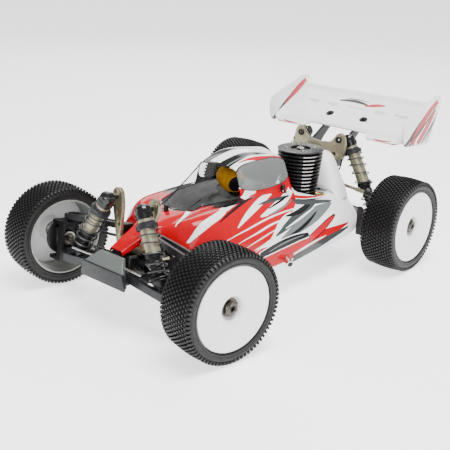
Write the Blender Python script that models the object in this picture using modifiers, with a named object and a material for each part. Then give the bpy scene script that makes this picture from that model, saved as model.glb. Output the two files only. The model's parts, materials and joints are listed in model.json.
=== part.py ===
"""1/8-scale off-road racing buggy, built as an assembly of separate sub-parts.

Sizes are in millimetres and are scaled to metres by MM. +X is the car's left, -Y its front, +Z up.
Plan positions are measured from the middle of the wheelbase on the ground; ORIGIN_Y then moves the
whole car so that the world origin is under the middle of its overall box.
The left side is drawn, and the right side is its mirror image.
"""
import math

import bmesh
import bpy
from mathutils import Matrix, Vector

MM = 0.001

# Driving dimensions.
WHEELBASE = 322.5
AXLE_Z = 57.0                 # the tyres stand on z = 0, each on one flat of its outline
ORIGIN_Y = -28.95             # from mid-wheelbase to the middle of the overall length, reversed
FRONT_Y = -WHEELBASE / 2
REAR_Y = WHEELBASE / 2
KICK_UP = math.radians(9.0)   # the front end's hinge pins rise towards the nose by this angle
STEER = math.radians(-9.0)    # the front wheels stand turned a little to the car's right

KINGPIN_X = 108.0
WHEEL_X = 129.5               # middle plane of a wheel
INNER_PIN = Vector((22.0, 0.0, -6.0))     # lower arm's inner hinge pin, from the axle's centre
OUTER_PIN = Vector((99.0, 0.0, -13.5))    # lower arm's outer hinge pin
ARM = OUTER_PIN - INNER_PIN
UPPER_OUTER = Vector((101.0, 0.0, 27.0))  # the upper arm is parallel to the lower one and as long
UPPER_INNER = UPPER_OUTER - ARM
ARM_TILT = math.atan2(-ARM.z, ARM.x)
SHAFT_INNER = Vector((20.0, 0.0, 4.0))    # drive shaft's joint in the differential's outdrive
SHAFT_OUTER = Vector((KINGPIN_X, 0.0, 0.0))

FRONT_SHOCK = {"top": Vector((26.5, -18.5, 65.5)), "foot": Vector((70.0, -18.5, -10.7))}
REAR_SHOCK = {"top": Vector((33.0, 20.5, 84.0)), "foot": Vector((86.0, 20.5, -12.2))}

CUP_HEIGHT = 19.0             # a shock's spring cup above its lower eye
COLLAR_Z = -20.0              # underside of a shock's spring collar, from its upper eye
REAR_STRETCH = 14.0           # a rear shock's body is this much longer than a front one's

GAP = 0.3                     # play between pieces that touch
ROUND = 24                    # segments round a wheel
SMALL_ROUND = 12              # segments round a shaft or a shock
RIM_RADIUS = 43.0
TYRE_RADIUS = AXLE_Z / math.cos(math.pi / ROUND)

LOWER_ARM_THICK = 8.0
UPPER_ARM_THICK = 6.0
TOWER_THICK = 4.5
SLOT_HALF = 5.1               # half the width of a lower arm's slot for the shock's eye
ARM_HALF = 8.0                # half the width of a lower arm's outer end
LUG_BACK = 4.0                # a hinge lug reaches this far inboard of its pin
LUG_ROUND = 3.6               # and this far outboard and above it
CUP_ROOM = 9.2                # radius of the room round an axle's drive cup
AXLE_BORE = 4.3               # radius of the bore an axle turns in

PLATE_TOP = 37.0              # the chassis plate's upper face
PLATE_THICK = 3.0
KICK_START_Y = -112.0         # where the chassis plate bends up

COLOURS = {
    "rubber_black": ((0.02, 0.02, 0.02), 0.85, 0.0),
    "dish_white": ((0.9, 0.9, 0.9), 0.35, 0.0),
    "steel": ((0.5, 0.48, 0.44), 0.3, 1.0),
    "plastic_black": ((0.03, 0.03, 0.03), 0.5, 0.0),
    "plastic_grey": ((0.2, 0.21, 0.22), 0.5, 0.0),
    "hard_anodised": ((0.42, 0.38, 0.29), 0.35, 0.9),
    "aluminium": ((0.6, 0.6, 0.6), 0.35, 1.0),
    "spring_steel": ((0.35, 0.35, 0.36), 0.3, 1.0),
    "shell_paint": ((0.75, 0.05, 0.04), 0.15, 0.0),
    "wing_white": ((0.92, 0.92, 0.92), 0.3, 0.0),
    "head_black": ((0.04, 0.04, 0.04), 0.35, 0.8),
    "filter_gold": ((0.8, 0.5, 0.08), 0.8, 0.0),
    "tank_white": ((0.7, 0.72, 0.7), 0.4, 0.0),
    "pipe_silver": ((0.75, 0.75, 0.75), 0.25, 1.0),
}


def clear_scene():
    for old in list(bpy.data.objects):
        bpy.data.objects.remove(old, do_unlink=True)


def collection(name):
    found = bpy.data.collections.get(name)
    if found is None:
        found = bpy.data.collections.new(name)
        bpy.context.scene.collection.children.link(found)
    return found


def material(name):
    found = bpy.data.materials.get(name)
    if found is None:
        colour, roughness, metallic = COLOURS[name]
        found = bpy.data.materials.new(name)
        found.use_nodes = True
        shader = found.node_tree.nodes["Principled BSDF"]
        shader.inputs["Base Color"].default_value = (*colour, 1.0)
        shader.inputs["Roughness"].default_value = roughness
        shader.inputs["Metallic"].default_value = metallic
    return found


def evaluated_mesh(obj):
    """The object's mesh with its modifiers done, welded, and the object removed."""
    bpy.context.view_layer.update()
    depsgraph = bpy.context.evaluated_depsgraph_get()
    mesh = bpy.data.meshes.new_from_object(obj.evaluated_get(depsgraph))
    mesh.transform(obj.matrix_world)
    bpy.data.objects.remove(obj, do_unlink=True)
    work = bmesh.new()
    work.from_mesh(mesh)
    bmesh.ops.remove_doubles(work, verts=work.verts, dist=1e-6)
    bmesh.ops.recalc_face_normals(work, faces=work.faces)
    work.to_mesh(mesh)
    work.free()
    return mesh


def bench_object(name, data, where=Matrix.Identity(4)):
    """A working object on the bench; its place is given in millimetres."""
    obj = bpy.data.objects.new(name, data)
    collection("cutters").objects.link(obj)
    place = where.copy()
    place.translation = where.translation * MM
    obj.matrix_world = place
    obj.hide_render = True
    obj.display_type = "WIRE"
    return obj


def at(x=0.0, y=0.0, z=0.0, turn=None, axis="Z"):
    """A placing matrix in millimetres, with an optional turn in radians about one axis."""
    place = Matrix.Translation((x, y, z))
    if turn is not None:
        place = place @ Matrix.Rotation(turn, 4, axis)
    return place


ALONG_X = Matrix.Rotation(math.pi / 2, 4, "Y")    # turns a shape made along Z to lie along X
ALONG_Y = Matrix.Rotation(-math.pi / 2, 4, "X")   # and along Y


def box(low, high, bevel=0.0, where=Matrix.Identity(4)):
    """A block from one corner to the other, with optional rounded edges."""
    low = Vector(low)
    high = Vector(high)
    shape = bmesh.new()
    middle = Matrix.Translation((low + high) / 2 * MM)
    size = Matrix.Diagonal(((high - low) * MM).to_4d())
    bmesh.ops.create_cube(shape, size=1.0, matrix=middle @ size)
    mesh = bpy.data.meshes.new("box")
    shape.to_mesh(mesh)
    shape.free()
    obj = bench_object("box", mesh, where)
    if bevel:
        rounded = obj.modifiers.new("rounded", "BEVEL")
        rounded.width = bevel * MM
        rounded.segments = 1
        rounded.limit_method = "NONE"
    return obj


def rod(radius, length, where=Matrix.Identity(4), end_radius=None, segments=SMALL_ROUND):
    """A cylinder or cone centred on its place, along its own Z."""
    shape = bmesh.new()
    bmesh.ops.create_cone(
        shape, cap_ends=True, segments=segments, depth=length * MM, radius1=radius * MM,
        radius2=(radius if end_radius is None else end_radius) * MM)
    mesh = bpy.data.meshes.new("rod")
    shape.to_mesh(mesh)
    shape.free()
    return bench_object("rod", mesh, where)


def turned(profile, segments=SMALL_ROUND, where=Matrix.Identity(4), closed=False):
    """A turned shape about Z. The profile's (radius, height) points run down its outer side."""
    mesh = bpy.data.meshes.new("turned")
    points = [(r * MM, 0.0, z * MM) for r, z in profile]
    edges = [(i, i + 1) for i in range(len(points) - 1)]
    if closed:
        edges.append((len(points) - 1, 0))
    mesh.from_pydata(points, edges, [])
    obj = bench_object("turned", mesh, where)
    screw = obj.modifiers.new("turned", "SCREW")
    screw.axis = "Z"
    screw.steps = segments
    screw.render_steps = segments
    screw.use_merge_vertices = True
    screw.merge_threshold = 0.000001
    return obj


def plate(outline, thickness, holes=(), where=Matrix.Identity(4)):
    """A flat plate in its own XY plane, centred on it. Holes are outlines too."""
    curve = bpy.data.curves.new("plate", "CURVE")
    curve.dimensions = "2D"
    curve.fill_mode = "BOTH"
    curve.extrude = thickness / 2 * MM
    for ring in (outline, *holes):
        spline = curve.splines.new("POLY")
        spline.points.add(len(ring) - 1)
        for point, (x, y) in zip(spline.points, ring):
            point.co = (x * MM, y * MM, 0.0, 1.0)
        spline.use_cyclic_u = True
    mesh = evaluated_mesh(bench_object("plate", curve))
    return bench_object("plate", mesh, where)


def tube(points, radius, resolution=2):
    """A round bar or pipe along a list of points, with filled ends."""
    curve = bpy.data.curves.new("tube", "CURVE")
    curve.dimensions = "3D"
    curve.bevel_depth = radius * MM
    curve.bevel_resolution = resolution
    curve.use_fill_caps = True
    spline = curve.splines.new("POLY")
    spline.points.add(len(points) - 1)
    for target, point in zip(spline.points, points):
        target.co = (point[0] * MM, point[1] * MM, point[2] * MM, 1.0)
    mesh = evaluated_mesh(bench_object("tube", curve))
    return bench_object("tube", mesh)


def circle(radius, x=0.0, y=0.0, count=12):
    """Points round a circle, for a plate's hole or a round outline."""
    turns = [2 * math.pi * i / count for i in range(count)]
    return [(x + radius * math.cos(t), y + radius * math.sin(t)) for t in turns]


def bezier(points, count):
    """Points along a smooth curve with the given control points (De Casteljau)."""
    result = []
    for i in range(count + 1):
        t = i / count
        line = [Vector(p) for p in points]
        while len(line) > 1:
            line = [a.lerp(b, t) for a, b in zip(line, line[1:])]
        result.append(line[0])
    return result


def fuse(*shapes, cuts=()):
    """Joins shapes into one body, takes the cuts away, and returns its mesh."""
    base = shapes[0]
    tools = [(s, "UNION") for s in shapes[1:]] + [(s, "DIFFERENCE") for s in cuts]
    for tool, operation in tools:
        step = base.modifiers.new(operation.lower(), "BOOLEAN")
        step.operation = operation
        step.object = tool
        step.solver = "EXACT"
    mesh = evaluated_mesh(base)
    for tool, _ in tools:
        bpy.data.objects.remove(tool, do_unlink=True)
    return mesh


def mirrored(mesh):
    """The same mesh seen in a mirror across X."""
    work = bmesh.new()
    work.from_mesh(mesh)
    bmesh.ops.transform(work, matrix=Matrix.Diagonal((-1, 1, 1, 1)), verts=work.verts)
    bmesh.ops.reverse_faces(work, faces=work.faces)
    other = bpy.data.meshes.new(mesh.name)
    work.to_mesh(other)
    work.free()
    return other


def part(name, mesh, colour, parent=None, place=Matrix.Identity(4), smooth=35.0):
    """One sub-part: its mesh, material, parent and place in millimetres under that parent."""
    mesh.name = name
    mesh.materials.clear()
    mesh.materials.append(material(colour))
    mesh.shade_smooth()
    mesh.set_sharp_from_angle(angle=math.radians(smooth))
    obj = bpy.data.objects.new(name, mesh)
    collection("rc_buggy").objects.link(obj)
    obj.parent = parent
    local = place.copy()
    local.translation = place.translation * MM
    obj.matrix_local = local
    return obj


def datum(name, place, parent=None):
    """An empty that marks an axis or a joint."""
    obj = bpy.data.objects.new(name, None)
    collection("rc_buggy").objects.link(obj)
    obj.empty_display_size = 0.01
    obj.parent = parent
    local = place.copy()
    local.translation = place.translation * MM
    obj.matrix_local = local
    return obj


def sided(mesh, place, side):
    """Mesh and place for the left (1) or right (-1) of the car."""
    if side > 0:
        return mesh, place
    flip = Matrix.Diagonal((-1, 1, 1, 1))
    return mirrored(mesh), flip @ place @ flip


# ---------------------------------------------------------------- wheels

def tyre_mesh():
    """The carcass and tread as one turned ring; +Z is the wheel's outer side."""
    half = [(44.5, 21.2), (49.5, 22.0), (53.8, 20.2), (56.4, 14.5), (TYRE_RADIUS, 6.0)]
    profile = half + [(r, -z) for r, z in reversed(half)]
    seat = RIM_RADIUS + GAP
    profile += [(seat, -19.5), (seat, 19.5)]
    return fuse(turned(profile, ROUND, closed=True))


def rim_mesh():
    """A dish wheel: bulged outer face with a nut recess, a barrel, and an open inner side."""
    outside = [(4.4, 13.5), (9.8, 13.5), (13.0, 18.4), (17.0, 20.2), (30.0, 21.3), (41.6, 20.3),
               (RIM_RADIUS, 18.6), (RIM_RADIUS, -20.5)]
    inside = [(41.2, -20.5), (40.8, 16.4), (28.0, 18.7), (15.0, 17.2), (11.4, 11.0), (4.4, 11.0)]
    return fuse(turned(outside + inside, ROUND, closed=True))


def wheel_axle_mesh():
    """Wheel nut, hexagon hub, axle and the inner drive cup on one axis; +Z is outwards."""
    profile = [(0, 19.6), (3.5, 19.6), (3.5, 18.6), (8.2, 18.6), (8.2, 13.8), (4.0, 13.8), (4.0, 10.7),
               (8.4, 10.7), (8.4, 4.2), (3.9, 4.2), (3.9, -13.5), (8.2, -14.2), (8.2, -26.5),
               (6.5, -26.5), (6.5, -16.5), (0, -16.5)]
    return fuse(turned(profile, SMALL_ROUND))


# ---------------------------------------------------------------- suspension

def lower_arm_mesh(back, shock):
    """Lower wishbone in its own frame: origin on the inner pin, X out, Y along the pin.

    back is -1 where the shock stands in front of the arm and 1 where it stands behind it.
    """
    length = ARM.length
    shock_x = shock["foot"].x - INNER_PIN.x
    slot_y = abs(shock["foot"].y)
    wall = slot_y + SLOT_HALF + 3.0
    end = length + 3
    outline = [(-4, wall), (shock_x + 9, wall), (shock_x + 11, wall - 3), (shock_x + 11, slot_y - 6.9),
               (shock_x + 5, slot_y - 7.1), (length - 12, ARM_HALF), (end, ARM_HALF), (end, -ARM_HALF),
               (length - 10, -ARM_HALF), (58, -13), (20, -22), (-4, -22), (-4, -11), (5, -10), (5, 10),
               (-4, 11)]
    slot_in = shock_x - 12.2
    slot_out = shock_x + 8
    slot = [(slot_in, slot_y + SLOT_HALF), (slot_out, slot_y + SLOT_HALF),
            (slot_out, slot_y - SLOT_HALF), (slot_in, slot_y - SLOT_HALF)]
    windows = [slot]
    windows.append([(12, slot_y + 3), (shock_x - 16, slot_y + 2), (shock_x - 16, 9), (12, 3)])
    windows.append([(14, -5), (shock_x - 9, 6), (52, 5), (54, -8), (20, -16)])
    if back < 0:
        outline = [(x, -y) for x, y in outline]
        windows = [[(x, -y) for x, y in w] for w in windows]
    return fuse(plate(outline, LOWER_ARM_THICK, windows))


def upper_arm_mesh(back):
    """Upper wishbone: a flat plate with a window and a fork round the carrier's post."""
    length = ARM.length
    outline = [(-4, 1), (30, -4), (length - 14, -9), (length + 4, -9), (length + 4, -4.7),
               (length - 11, -4.7), (length - 11, 4.7), (length + 4, 4.7), (length + 4, 9),
               (length - 14, 9), (34, 11.5), (-4, 13)]
    window = [(8, 4.5), (30, 0), (54, -4), (54, 5), (30, 7.5), (8, 9)]
    if back > 0:
        outline = [(x, -y) for x, y in outline]
        window = [(x, -y) for x, y in window]
    return fuse(plate(outline, UPPER_ARM_THICK, [window]))


def upper_link_mesh():
    """Rear upper link: a turnbuckle with a ball end at each end, along X from its inner ball."""
    length = ARM.length
    shaft = turned([(0, length - 3), (3.2, length - 3), (3.2, length - 18), (2.0, length - 18),
                    (2.0, 18), (3.2, 18), (3.2, 3), (0, 3)], 10, ALONG_X)
    ends = [rod(4.4, 5.4, at(x) @ ALONG_Y, segments=10) for x in (0.0, length)]
    return fuse(shaft, *ends)


def caster_block_mesh():
    """C-shaped front carrier, from the kingpin's centre: two ears, a front cheek, pin lugs."""
    pin = OUTER_PIN - SHAFT_OUTER
    post = UPPER_OUTER - SHAFT_OUTER
    lower_ear = box((-13, -17, -23), (6, 13, -19))
    upper_ear = box((-13, -17, 17.5), (6, 9, 21.5))
    cheek = box((-13, -17, -21), (-5.5, -13.2, 20))
    front_lug = box((pin.x - LUG_BACK, -13.5, -20), (pin.x + LUG_ROUND, -8.5, pin.z + LUG_ROUND))
    rear_lug = box((pin.x - LUG_BACK, 8.5, -20), (pin.x + LUG_ROUND, 12.9, pin.z + LUG_ROUND))
    upper_post = box((post.x - 3.5, -4, 20), (post.x + 3.5, 4, post.z + 3.5))
    return fuse(lower_ear, upper_ear, cheek, front_lug, rear_lug, upper_post)


def knuckle_mesh():
    """Steering knuckle from the kingpin's centre: cup housing, bearing nose and steering arm."""
    block = box((-1, -12.4, -15.5), (10, 12.4, 14.5), bevel=1.5)
    nose = rod(10.5, 13.5, at(15.9) @ ALONG_X, segments=12)
    arm_outline = [(2, 8), (8, 8), (8, 14), (-6.5, 25), (-10, 26), (-13.5, 22), (-12, 18)]
    arm = plate(arm_outline, 4.0, where=at(z=3.0))
    cup_room = rod(CUP_ROOM, 20, at(-1.8) @ ALONG_X, segments=12)
    bore = rod(AXLE_BORE, 40, at(15) @ ALONG_X)
    return fuse(block, nose, arm, cuts=(cup_room, bore))


def hub_carrier_mesh():
    """Rear hub carrier from the drive joint's centre: bearing housing, pin lugs and upper post."""
    pin = OUTER_PIN - SHAFT_OUTER
    post = UPPER_OUTER - SHAFT_OUTER
    block = box((-1, -12.4, -17), (10, 12.4, 17), bevel=1.5)
    nose = rod(10.5, 13.5, at(15.9) @ ALONG_X)
    foot = box((pin.x - LUG_BACK, -13, -24), (6, 13, -20))
    keel = box((-0.5, -12, -23), (6, 12, -14))
    front_lug = box((pin.x - LUG_BACK, -13, -23), (pin.x + LUG_ROUND, -8.5, pin.z + LUG_ROUND))
    rear_lug = box((pin.x - LUG_BACK, 8.5, -23), (pin.x + LUG_ROUND, 13, pin.z + LUG_ROUND))
    bridge = box((post.x - 3, -13.6, 15.5), (6, -3.6, 19))
    upper_post = box((post.x - 4, -13.7, 17), (post.x + 3.5, -9.5, post.z + 3.5))
    cup_room = rod(CUP_ROOM, 20, at(-1.8) @ ALONG_X, segments=12)
    bore = rod(AXLE_BORE, 40, at(15) @ ALONG_X)
    return fuse(block, nose, foot, keel, front_lug, rear_lug, bridge, upper_post, cuts=(cup_room, bore))


def shock_body_mesh(extra):
    """Damper body: cap, threaded tube and spring collar, hollow for the rod. Z points up it."""
    profile = [(0, 6.5), (6.0, 6.5), (8.5, 4.5), (8.5, -9.5), (7.8, -10.0), (7.8, -13.5),
               (11.0, COLLAR_Z + 6.0), (11.0, COLLAR_Z), (7.8, COLLAR_Z - 0.5), (7.8, -43 - extra),
               (8.6, -43.5 - extra),
               (8.6, -49.5 - extra), (2.2, -49.5 - extra), (2.2, -16.0), (0, -16.0)]
    return fuse(turned(profile, SMALL_ROUND))


def shock_rod_mesh(length, extra):
    """Damper rod with its spring cup, boot and lower eye, under the same top point."""
    cup = -(length - CUP_HEIGHT)
    profile = [(0, -38.0 - extra), (1.8, -38.0 - extra), (1.8, cup + 1.5), (5.0, cup + 1.2),
               (11.3, cup), (11.3, cup - 2.6), (8.6, cup - 3.6), (4.6, cup - 11.5), (3.3, cup - 12.0),
               (3.3, -length), (0, -length)]
    stem = turned(profile, SMALL_ROUND)
    eye = rod(4.4, 7.0, at(z=-length) @ ALONG_Y)
    return fuse(stem, eye)


def spring_mesh(length):
    """Open coil spring between the collar and the spring cup."""
    radius = 10.4
    wire = 0.85
    top = COLLAR_Z - GAP - wire
    bottom = -(length - CUP_HEIGHT) + GAP + wire + 0.2
    turns = 5
    per_turn = 8
    points = []
    for i in range(turns * per_turn + 1):
        angle = 2 * math.pi * i / per_turn
        share = i / (turns * per_turn)
        points.append((radius * math.cos(angle), radius * math.sin(angle), top + (bottom - top) * share))
    return fuse(tube(points, wire, resolution=0))


def drive_shaft_mesh(length):
    """Dog-bone drive shaft along X from its inner joint, thickened at both ends."""
    profile = [(0, length + 2.4), (1.6, length + 2.0), (2.6, length), (1.8, length - 2.6),
               (1.8, 4.5), (3.4, 1.5), (3.4, -1.5), (1.8, -2.4), (0, -2.8)]
    return fuse(turned(profile, 12, ALONG_X))


def shock_place(shock):
    """The frame of a shock: origin on its upper eye, Z up along it, Y along the car."""
    up = (shock["top"] - shock["foot"]).normalized()
    across = Vector((0, 1, 0)).cross(up)
    turn = Matrix((across, (0, 1, 0), up)).transposed().to_4x4()
    return Matrix.Translation(shock["top"]) @ turn


def build_corner(tag, side, end, back, shock):
    """One wheel and its suspension. end is the empty at the axle line's centre."""
    tilt = Matrix.Rotation(ARM_TILT, 4, "Y")
    front = back < 0

    def add(name, mesh, colour, place, parent=end):
        shaped, spot = sided(mesh, place, side)
        return part(name + "_" + tag, shaped, colour, parent, spot)

    add("lower_arm", lower_arm_mesh(back, shock), "plastic_grey", Matrix.Translation(INNER_PIN) @ tilt)
    if front:
        add("upper_arm", upper_arm_mesh(back), "plastic_grey", Matrix.Translation(UPPER_INNER) @ tilt)
        add("caster_block", caster_block_mesh(), "plastic_black", Matrix.Translation(SHAFT_OUTER))
    else:
        link = Matrix.Translation(UPPER_INNER + Vector((0, -6, 0))) @ tilt
        add("upper_link", upper_link_mesh(), "hard_anodised", link)
        add("hub_carrier", hub_carrier_mesh(), "plastic_black", Matrix.Translation(SHAFT_OUTER))

    # Front wheel parts hang on an upright kingpin, which is turned by the steering angle.
    turn = STEER if front else 0.0
    axle_y = FRONT_Y if front else REAR_Y
    kingpin = datum("kingpin_" + tag, at(side * KINGPIN_X, axle_y + ORIGIN_Y, AXLE_Z, turn))
    if front:
        add("steering_knuckle", knuckle_mesh(), "plastic_black", Matrix.Identity(4), kingpin)
    hub = at(WHEEL_X - KINGPIN_X) @ ALONG_X @ at(turn=math.pi / ROUND)
    add("wheel_axle", wheel_axle_mesh(), "steel", hub, kingpin)
    add("rim", rim_mesh(), "dish_white", hub, kingpin)
    add("tyre", tyre_mesh(), "rubber_black", hub, kingpin)

    length = (shock["top"] - shock["foot"]).length
    extra = 0.0 if front else REAR_STRETCH
    place = shock_place(shock)
    add("shock_body", shock_body_mesh(extra), "hard_anodised", place)
    add("shock_rod", shock_rod_mesh(length, extra), "plastic_black", place)
    add("spring", spring_mesh(length), "spring_steel", place)

    reach = SHAFT_OUTER - SHAFT_INNER
    lean = Matrix.Rotation(math.atan2(-reach.z, reach.x), 4, "Y")
    add("drive_shaft", drive_shaft_mesh(reach.length), "steel", Matrix.Translation(SHAFT_INNER) @ lean)


# ---------------------------------------------------------------- steering

TIE_BALL = Vector((-10.0, 22.0, 8.7))     # outer ball, from the kingpin, with the wheels straight


def tie_rod_points(side):
    """Outer and inner ball of a tie rod in the front end's frame, for the wheels as they stand."""
    ball = Vector((side * TIE_BALL.x, TIE_BALL.y, TIE_BALL.z))
    turned_ball = Matrix.Rotation(STEER, 3, "Z") @ ball
    outer = Matrix.Rotation(KICK_UP, 3, "X") @ turned_ball + Vector((side * KINGPIN_X, 0, 0))
    inner = outer - Vector((side * ARM.x, 0, ARM.z))
    return outer, inner


def build_steering(end):
    """The drag plate between the bell cranks, and the two tie rods."""
    left_outer, left_inner = tie_rod_points(1)
    right_outer, right_inner = tie_rod_points(-1)
    middle = (left_inner + right_inner) / 2
    low = middle.z - 6.4
    bar = box((right_inner.x - 5, middle.y - 5.5, low - 3), (left_inner.x + 5, middle.y + 5.5, low))
    part("steering_plate", fuse(bar), "hard_anodised", end)
    for tag, outer, inner in (("fl", left_outer, left_inner), ("fr", right_outer, right_inner)):
        run = outer - inner
        length = run.length
        shaft = turned([(0, length - 3), (2.8, length - 3), (2.8, length - 15), (1.7, length - 15),
                        (1.7, 15), (2.8, 15), (2.8, 3), (0, 3)], 10, ALONG_X)
        ends = [rod(4.0, 5.0, at(x), segments=10) for x in (0.0, length)]
        mesh = fuse(shaft, *ends)
        along = run.normalized()
        up = Vector((0, 0, 1)) - along * along.z
        up.normalize()
        turn = Matrix((along, up.cross(along), up)).transposed().to_4x4()
        part("tie_rod_" + tag, mesh, "steel", end, Matrix.Translation(inner) @ turn)


# ---------------------------------------------------------------- chassis and ends

def both_sides(half):
    """A closed outline from its right-hand half, listed from bottom to top."""
    return half + [(-x, z) for x, z in reversed(half) if x > 0]


UPRIGHT = Matrix.Rotation(math.pi / 2, 4, "X")    # lays a plate's Y along the world's Z
SIDEWAYS = Matrix(((0, 0, 1, 0), (1, 0, 0, 0), (0, 1, 0, 0), (0, 0, 0, 1)))    # and its X along Y


def build_chassis():
    """The flat chassis plate, bent up at the nose by the kick-up angle."""
    half = [(20, KICK_START_Y), (46, -94), (62, -62), (66, 0), (64, 62), (50, 104), (24, 128),
            (22, REAR_Y + 22)]
    main = plate(both_sides(half), PLATE_THICK, where=at(z=PLATE_TOP - PLATE_THICK / 2))
    rise = [(15, -64), (18, -30), (21.5, 0.5)]
    kicked = plate(both_sides(rise), PLATE_THICK,
                   where=at(0, KICK_START_Y, PLATE_TOP - PLATE_THICK / 2, -KICK_UP, "X"))
    part("chassis_plate", fuse(main, kicked), "aluminium", place=at(0, ORIGIN_Y, 0))


def build_bumper():
    """Wedge bumper: its front view is cut by its side view."""
    face = [(33, 48), (33.5, 52), (29.5, 64), (18, 74.5)]
    front_view = plate(both_sides(face), 40, where=at(y=-194) @ UPRIGHT)
    side_view = plate([(-201, 47), (-199.5, 64), (-189, 74.7), (-184.5, 74.7), (-184.5, 66),
                       (-194.1, 62.5), (-194.1, 47)], 90, where=SIDEWAYS)
    meet = front_view.modifiers.new("meet", "BOOLEAN")
    meet.operation = "INTERSECT"
    meet.object = side_view
    meet.solver = "EXACT"
    mesh = evaluated_mesh(front_view)
    bpy.data.objects.remove(side_view, do_unlink=True)
    part("front_bumper", mesh, "plastic_grey", place=at(0, ORIGIN_Y, 0))


def outdrive(side):
    """The cup on a differential's side that takes the drive shaft's inner joint."""
    return turned([(5.8, 25), (7.6, 25), (7.6, 13), (5.8, 13)], SMALL_ROUND,
                  at(z=SHAFT_INNER.z) @ (ALONG_X if side > 0 else ALONG_X.inverted()), closed=True)


def build_front_end(end):
    """Front gearbox with its hinge-pin holders, and the U-shaped shock tower, in the end's frame."""
    case = box((-14.5, -17, -12.0), (14.5, 14, 13.4), bevel=2.5)
    spine = box((-9, -31, -11.8), (9, 27, -3))
    holders = [box((-29, -31, -11), (29, -27.3, -1)), box((-29, 23, -11), (29, 27, -1))]
    bridge = box((-19.2, 0.3, 11), (19.2, 13, 17))
    cheeks = [box((s * 17.8 - 1.4, 0.3, 12), (s * 17.8 + 1.4, 13, 38)) for s in (1, -1)]
    mesh = fuse(case, spine, *holders, bridge, *cheeks, outdrive(1), outdrive(-1))
    part("front_gearbox", mesh, "plastic_black", end)

    half = [(15, 13.8), (21, 20), (30, 50), (35, 64), (34.5, 71), (31, 75.5), (25, 76), (20.5, 72),
            (17, 60), (16, 27), (12, 21.5), (0, 21)]
    holes = []
    for side in (1, -1):
        holes += [circle(1.8, side * 30.0, 71.5, 8), circle(2.2, side * 22.5, 50, 8)]
    tower = plate(both_sides(half), TOWER_THICK, holes, at(y=-3.3) @ UPRIGHT)
    top = FRONT_SHOCK["top"]
    studs = [rod(2.4, 5.8, at(side * top.x, -6.6, top.z) @ ALONG_Y, segments=12) for side in (1, -1)]
    part("front_shock_tower", fuse(tower, *studs), "hard_anodised", end)


def build_rear_end(end):
    """Rear gearbox, shock tower, wing mount and wing, in the rear end's frame."""
    case = box((-14.5, -22, -19.6), (14.5, 19.5, 21.5), bevel=2.5)
    spine = box((-9, -26.5, -11.8), (9, 33, -3))
    holders = [box((-29, 29.2, -11), (29, 33, -1)), box((-29, -26.5, -11), (29, -22.6, -1))]
    block = box((-18, -14, 20), (18, 1, 38))
    mesh = fuse(case, spine, *holders, block, outdrive(1), outdrive(-1))
    part("rear_gearbox", mesh, "plastic_black", end)

    half = [(14, 21.8), (15, 46), (22, 55), (37, 62), (40, 72), (39.5, 84), (37, 91), (32, 94),
            (26.5, 92.5), (22, 86), (16, 80), (0, 78)]
    holes = []
    for side in (1, -1):
        holes += [circle(2.2, side * 24.5, 72, 8), circle(2.0, side * 13, 64, 8)]
    tower = plate(both_sides(half), TOWER_THICK, holes, at(y=5.2) @ UPRIGHT)
    top = REAR_SHOCK["top"]
    studs = [rod(2.4, 4.8, at(side * top.x, 9.2, top.z) @ ALONG_Y, segments=12) for side in (1, -1)]
    part("rear_shock_tower", fuse(tower, *studs), "hard_anodised", end)


WING_SLOPE = math.radians(26.6)
WING_FRONT = Vector((0.0, 202.0, 149.0))    # middle of the wing's front edge
WING_HALF = 104.0
WING_CHORD = 76.0
BLADE_THICK = 2.4
FENCE_THICK = 2.2
STRUT_X = 23.0
STRUT_THICK = 3.6


def build_wing():
    """Rear wing with end plates, and the twin-strut mount under it."""
    slope = Matrix.Translation(WING_FRONT) @ Matrix.Rotation(WING_SLOPE, 4, "X")
    half = [(44, 0), (51, -9.5), (92, -9.5), (WING_HALF, -1), (WING_HALF, WING_CHORD)]
    blade = plate(both_sides(half), BLADE_THICK, where=slope @ at(z=-BLADE_THICK / 2))
    lip = box((-WING_HALF, WING_CHORD - BLADE_THICK, -1.4), (WING_HALF, WING_CHORD, 3.0), where=slope)
    fence = [(190, 167), (193, 147), (199, 141), (252, 136), (259, 139), (280, 190), (277, 197),
             (262, 197.5), (196, 176)]
    fences = []
    for side in (1, -1):
        fences.append(plate(fence, FENCE_THICK, where=at(side * (WING_HALF + 0.9)) @ SIDEWAYS))
    part("rear_wing", fuse(blade, lip, *fences), "wing_white", place=at(0, ORIGIN_Y, 0))

    strut = [(168.9, 104), (168.9, 126), (203, 145.4), (235, 161.4), (237, 156), (206, 132), (180, 104)]
    struts = [plate(strut, STRUT_THICK, where=at(side * STRUT_X) @ SIDEWAYS) for side in (1, -1)]
    saddle = box((-27, 8, -6.2), (27, 33, -2.8), where=slope)
    foot = box((-24, 168.9, 106), (24, 172.5, 124))
    part("wing_mount", fuse(saddle, *struts, foot), "plastic_black", place=at(0, ORIGIN_Y, 0))


# ---------------------------------------------------------------- engine bay

ENGINE_X = 28.0
ENGINE_Y = 86.0
HEAD_TOP = 145.0
HEAD_FLOOR = 84.4             # the head stands on the crankcase
FINS = 7
FIN_PITCH = 8.2


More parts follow.
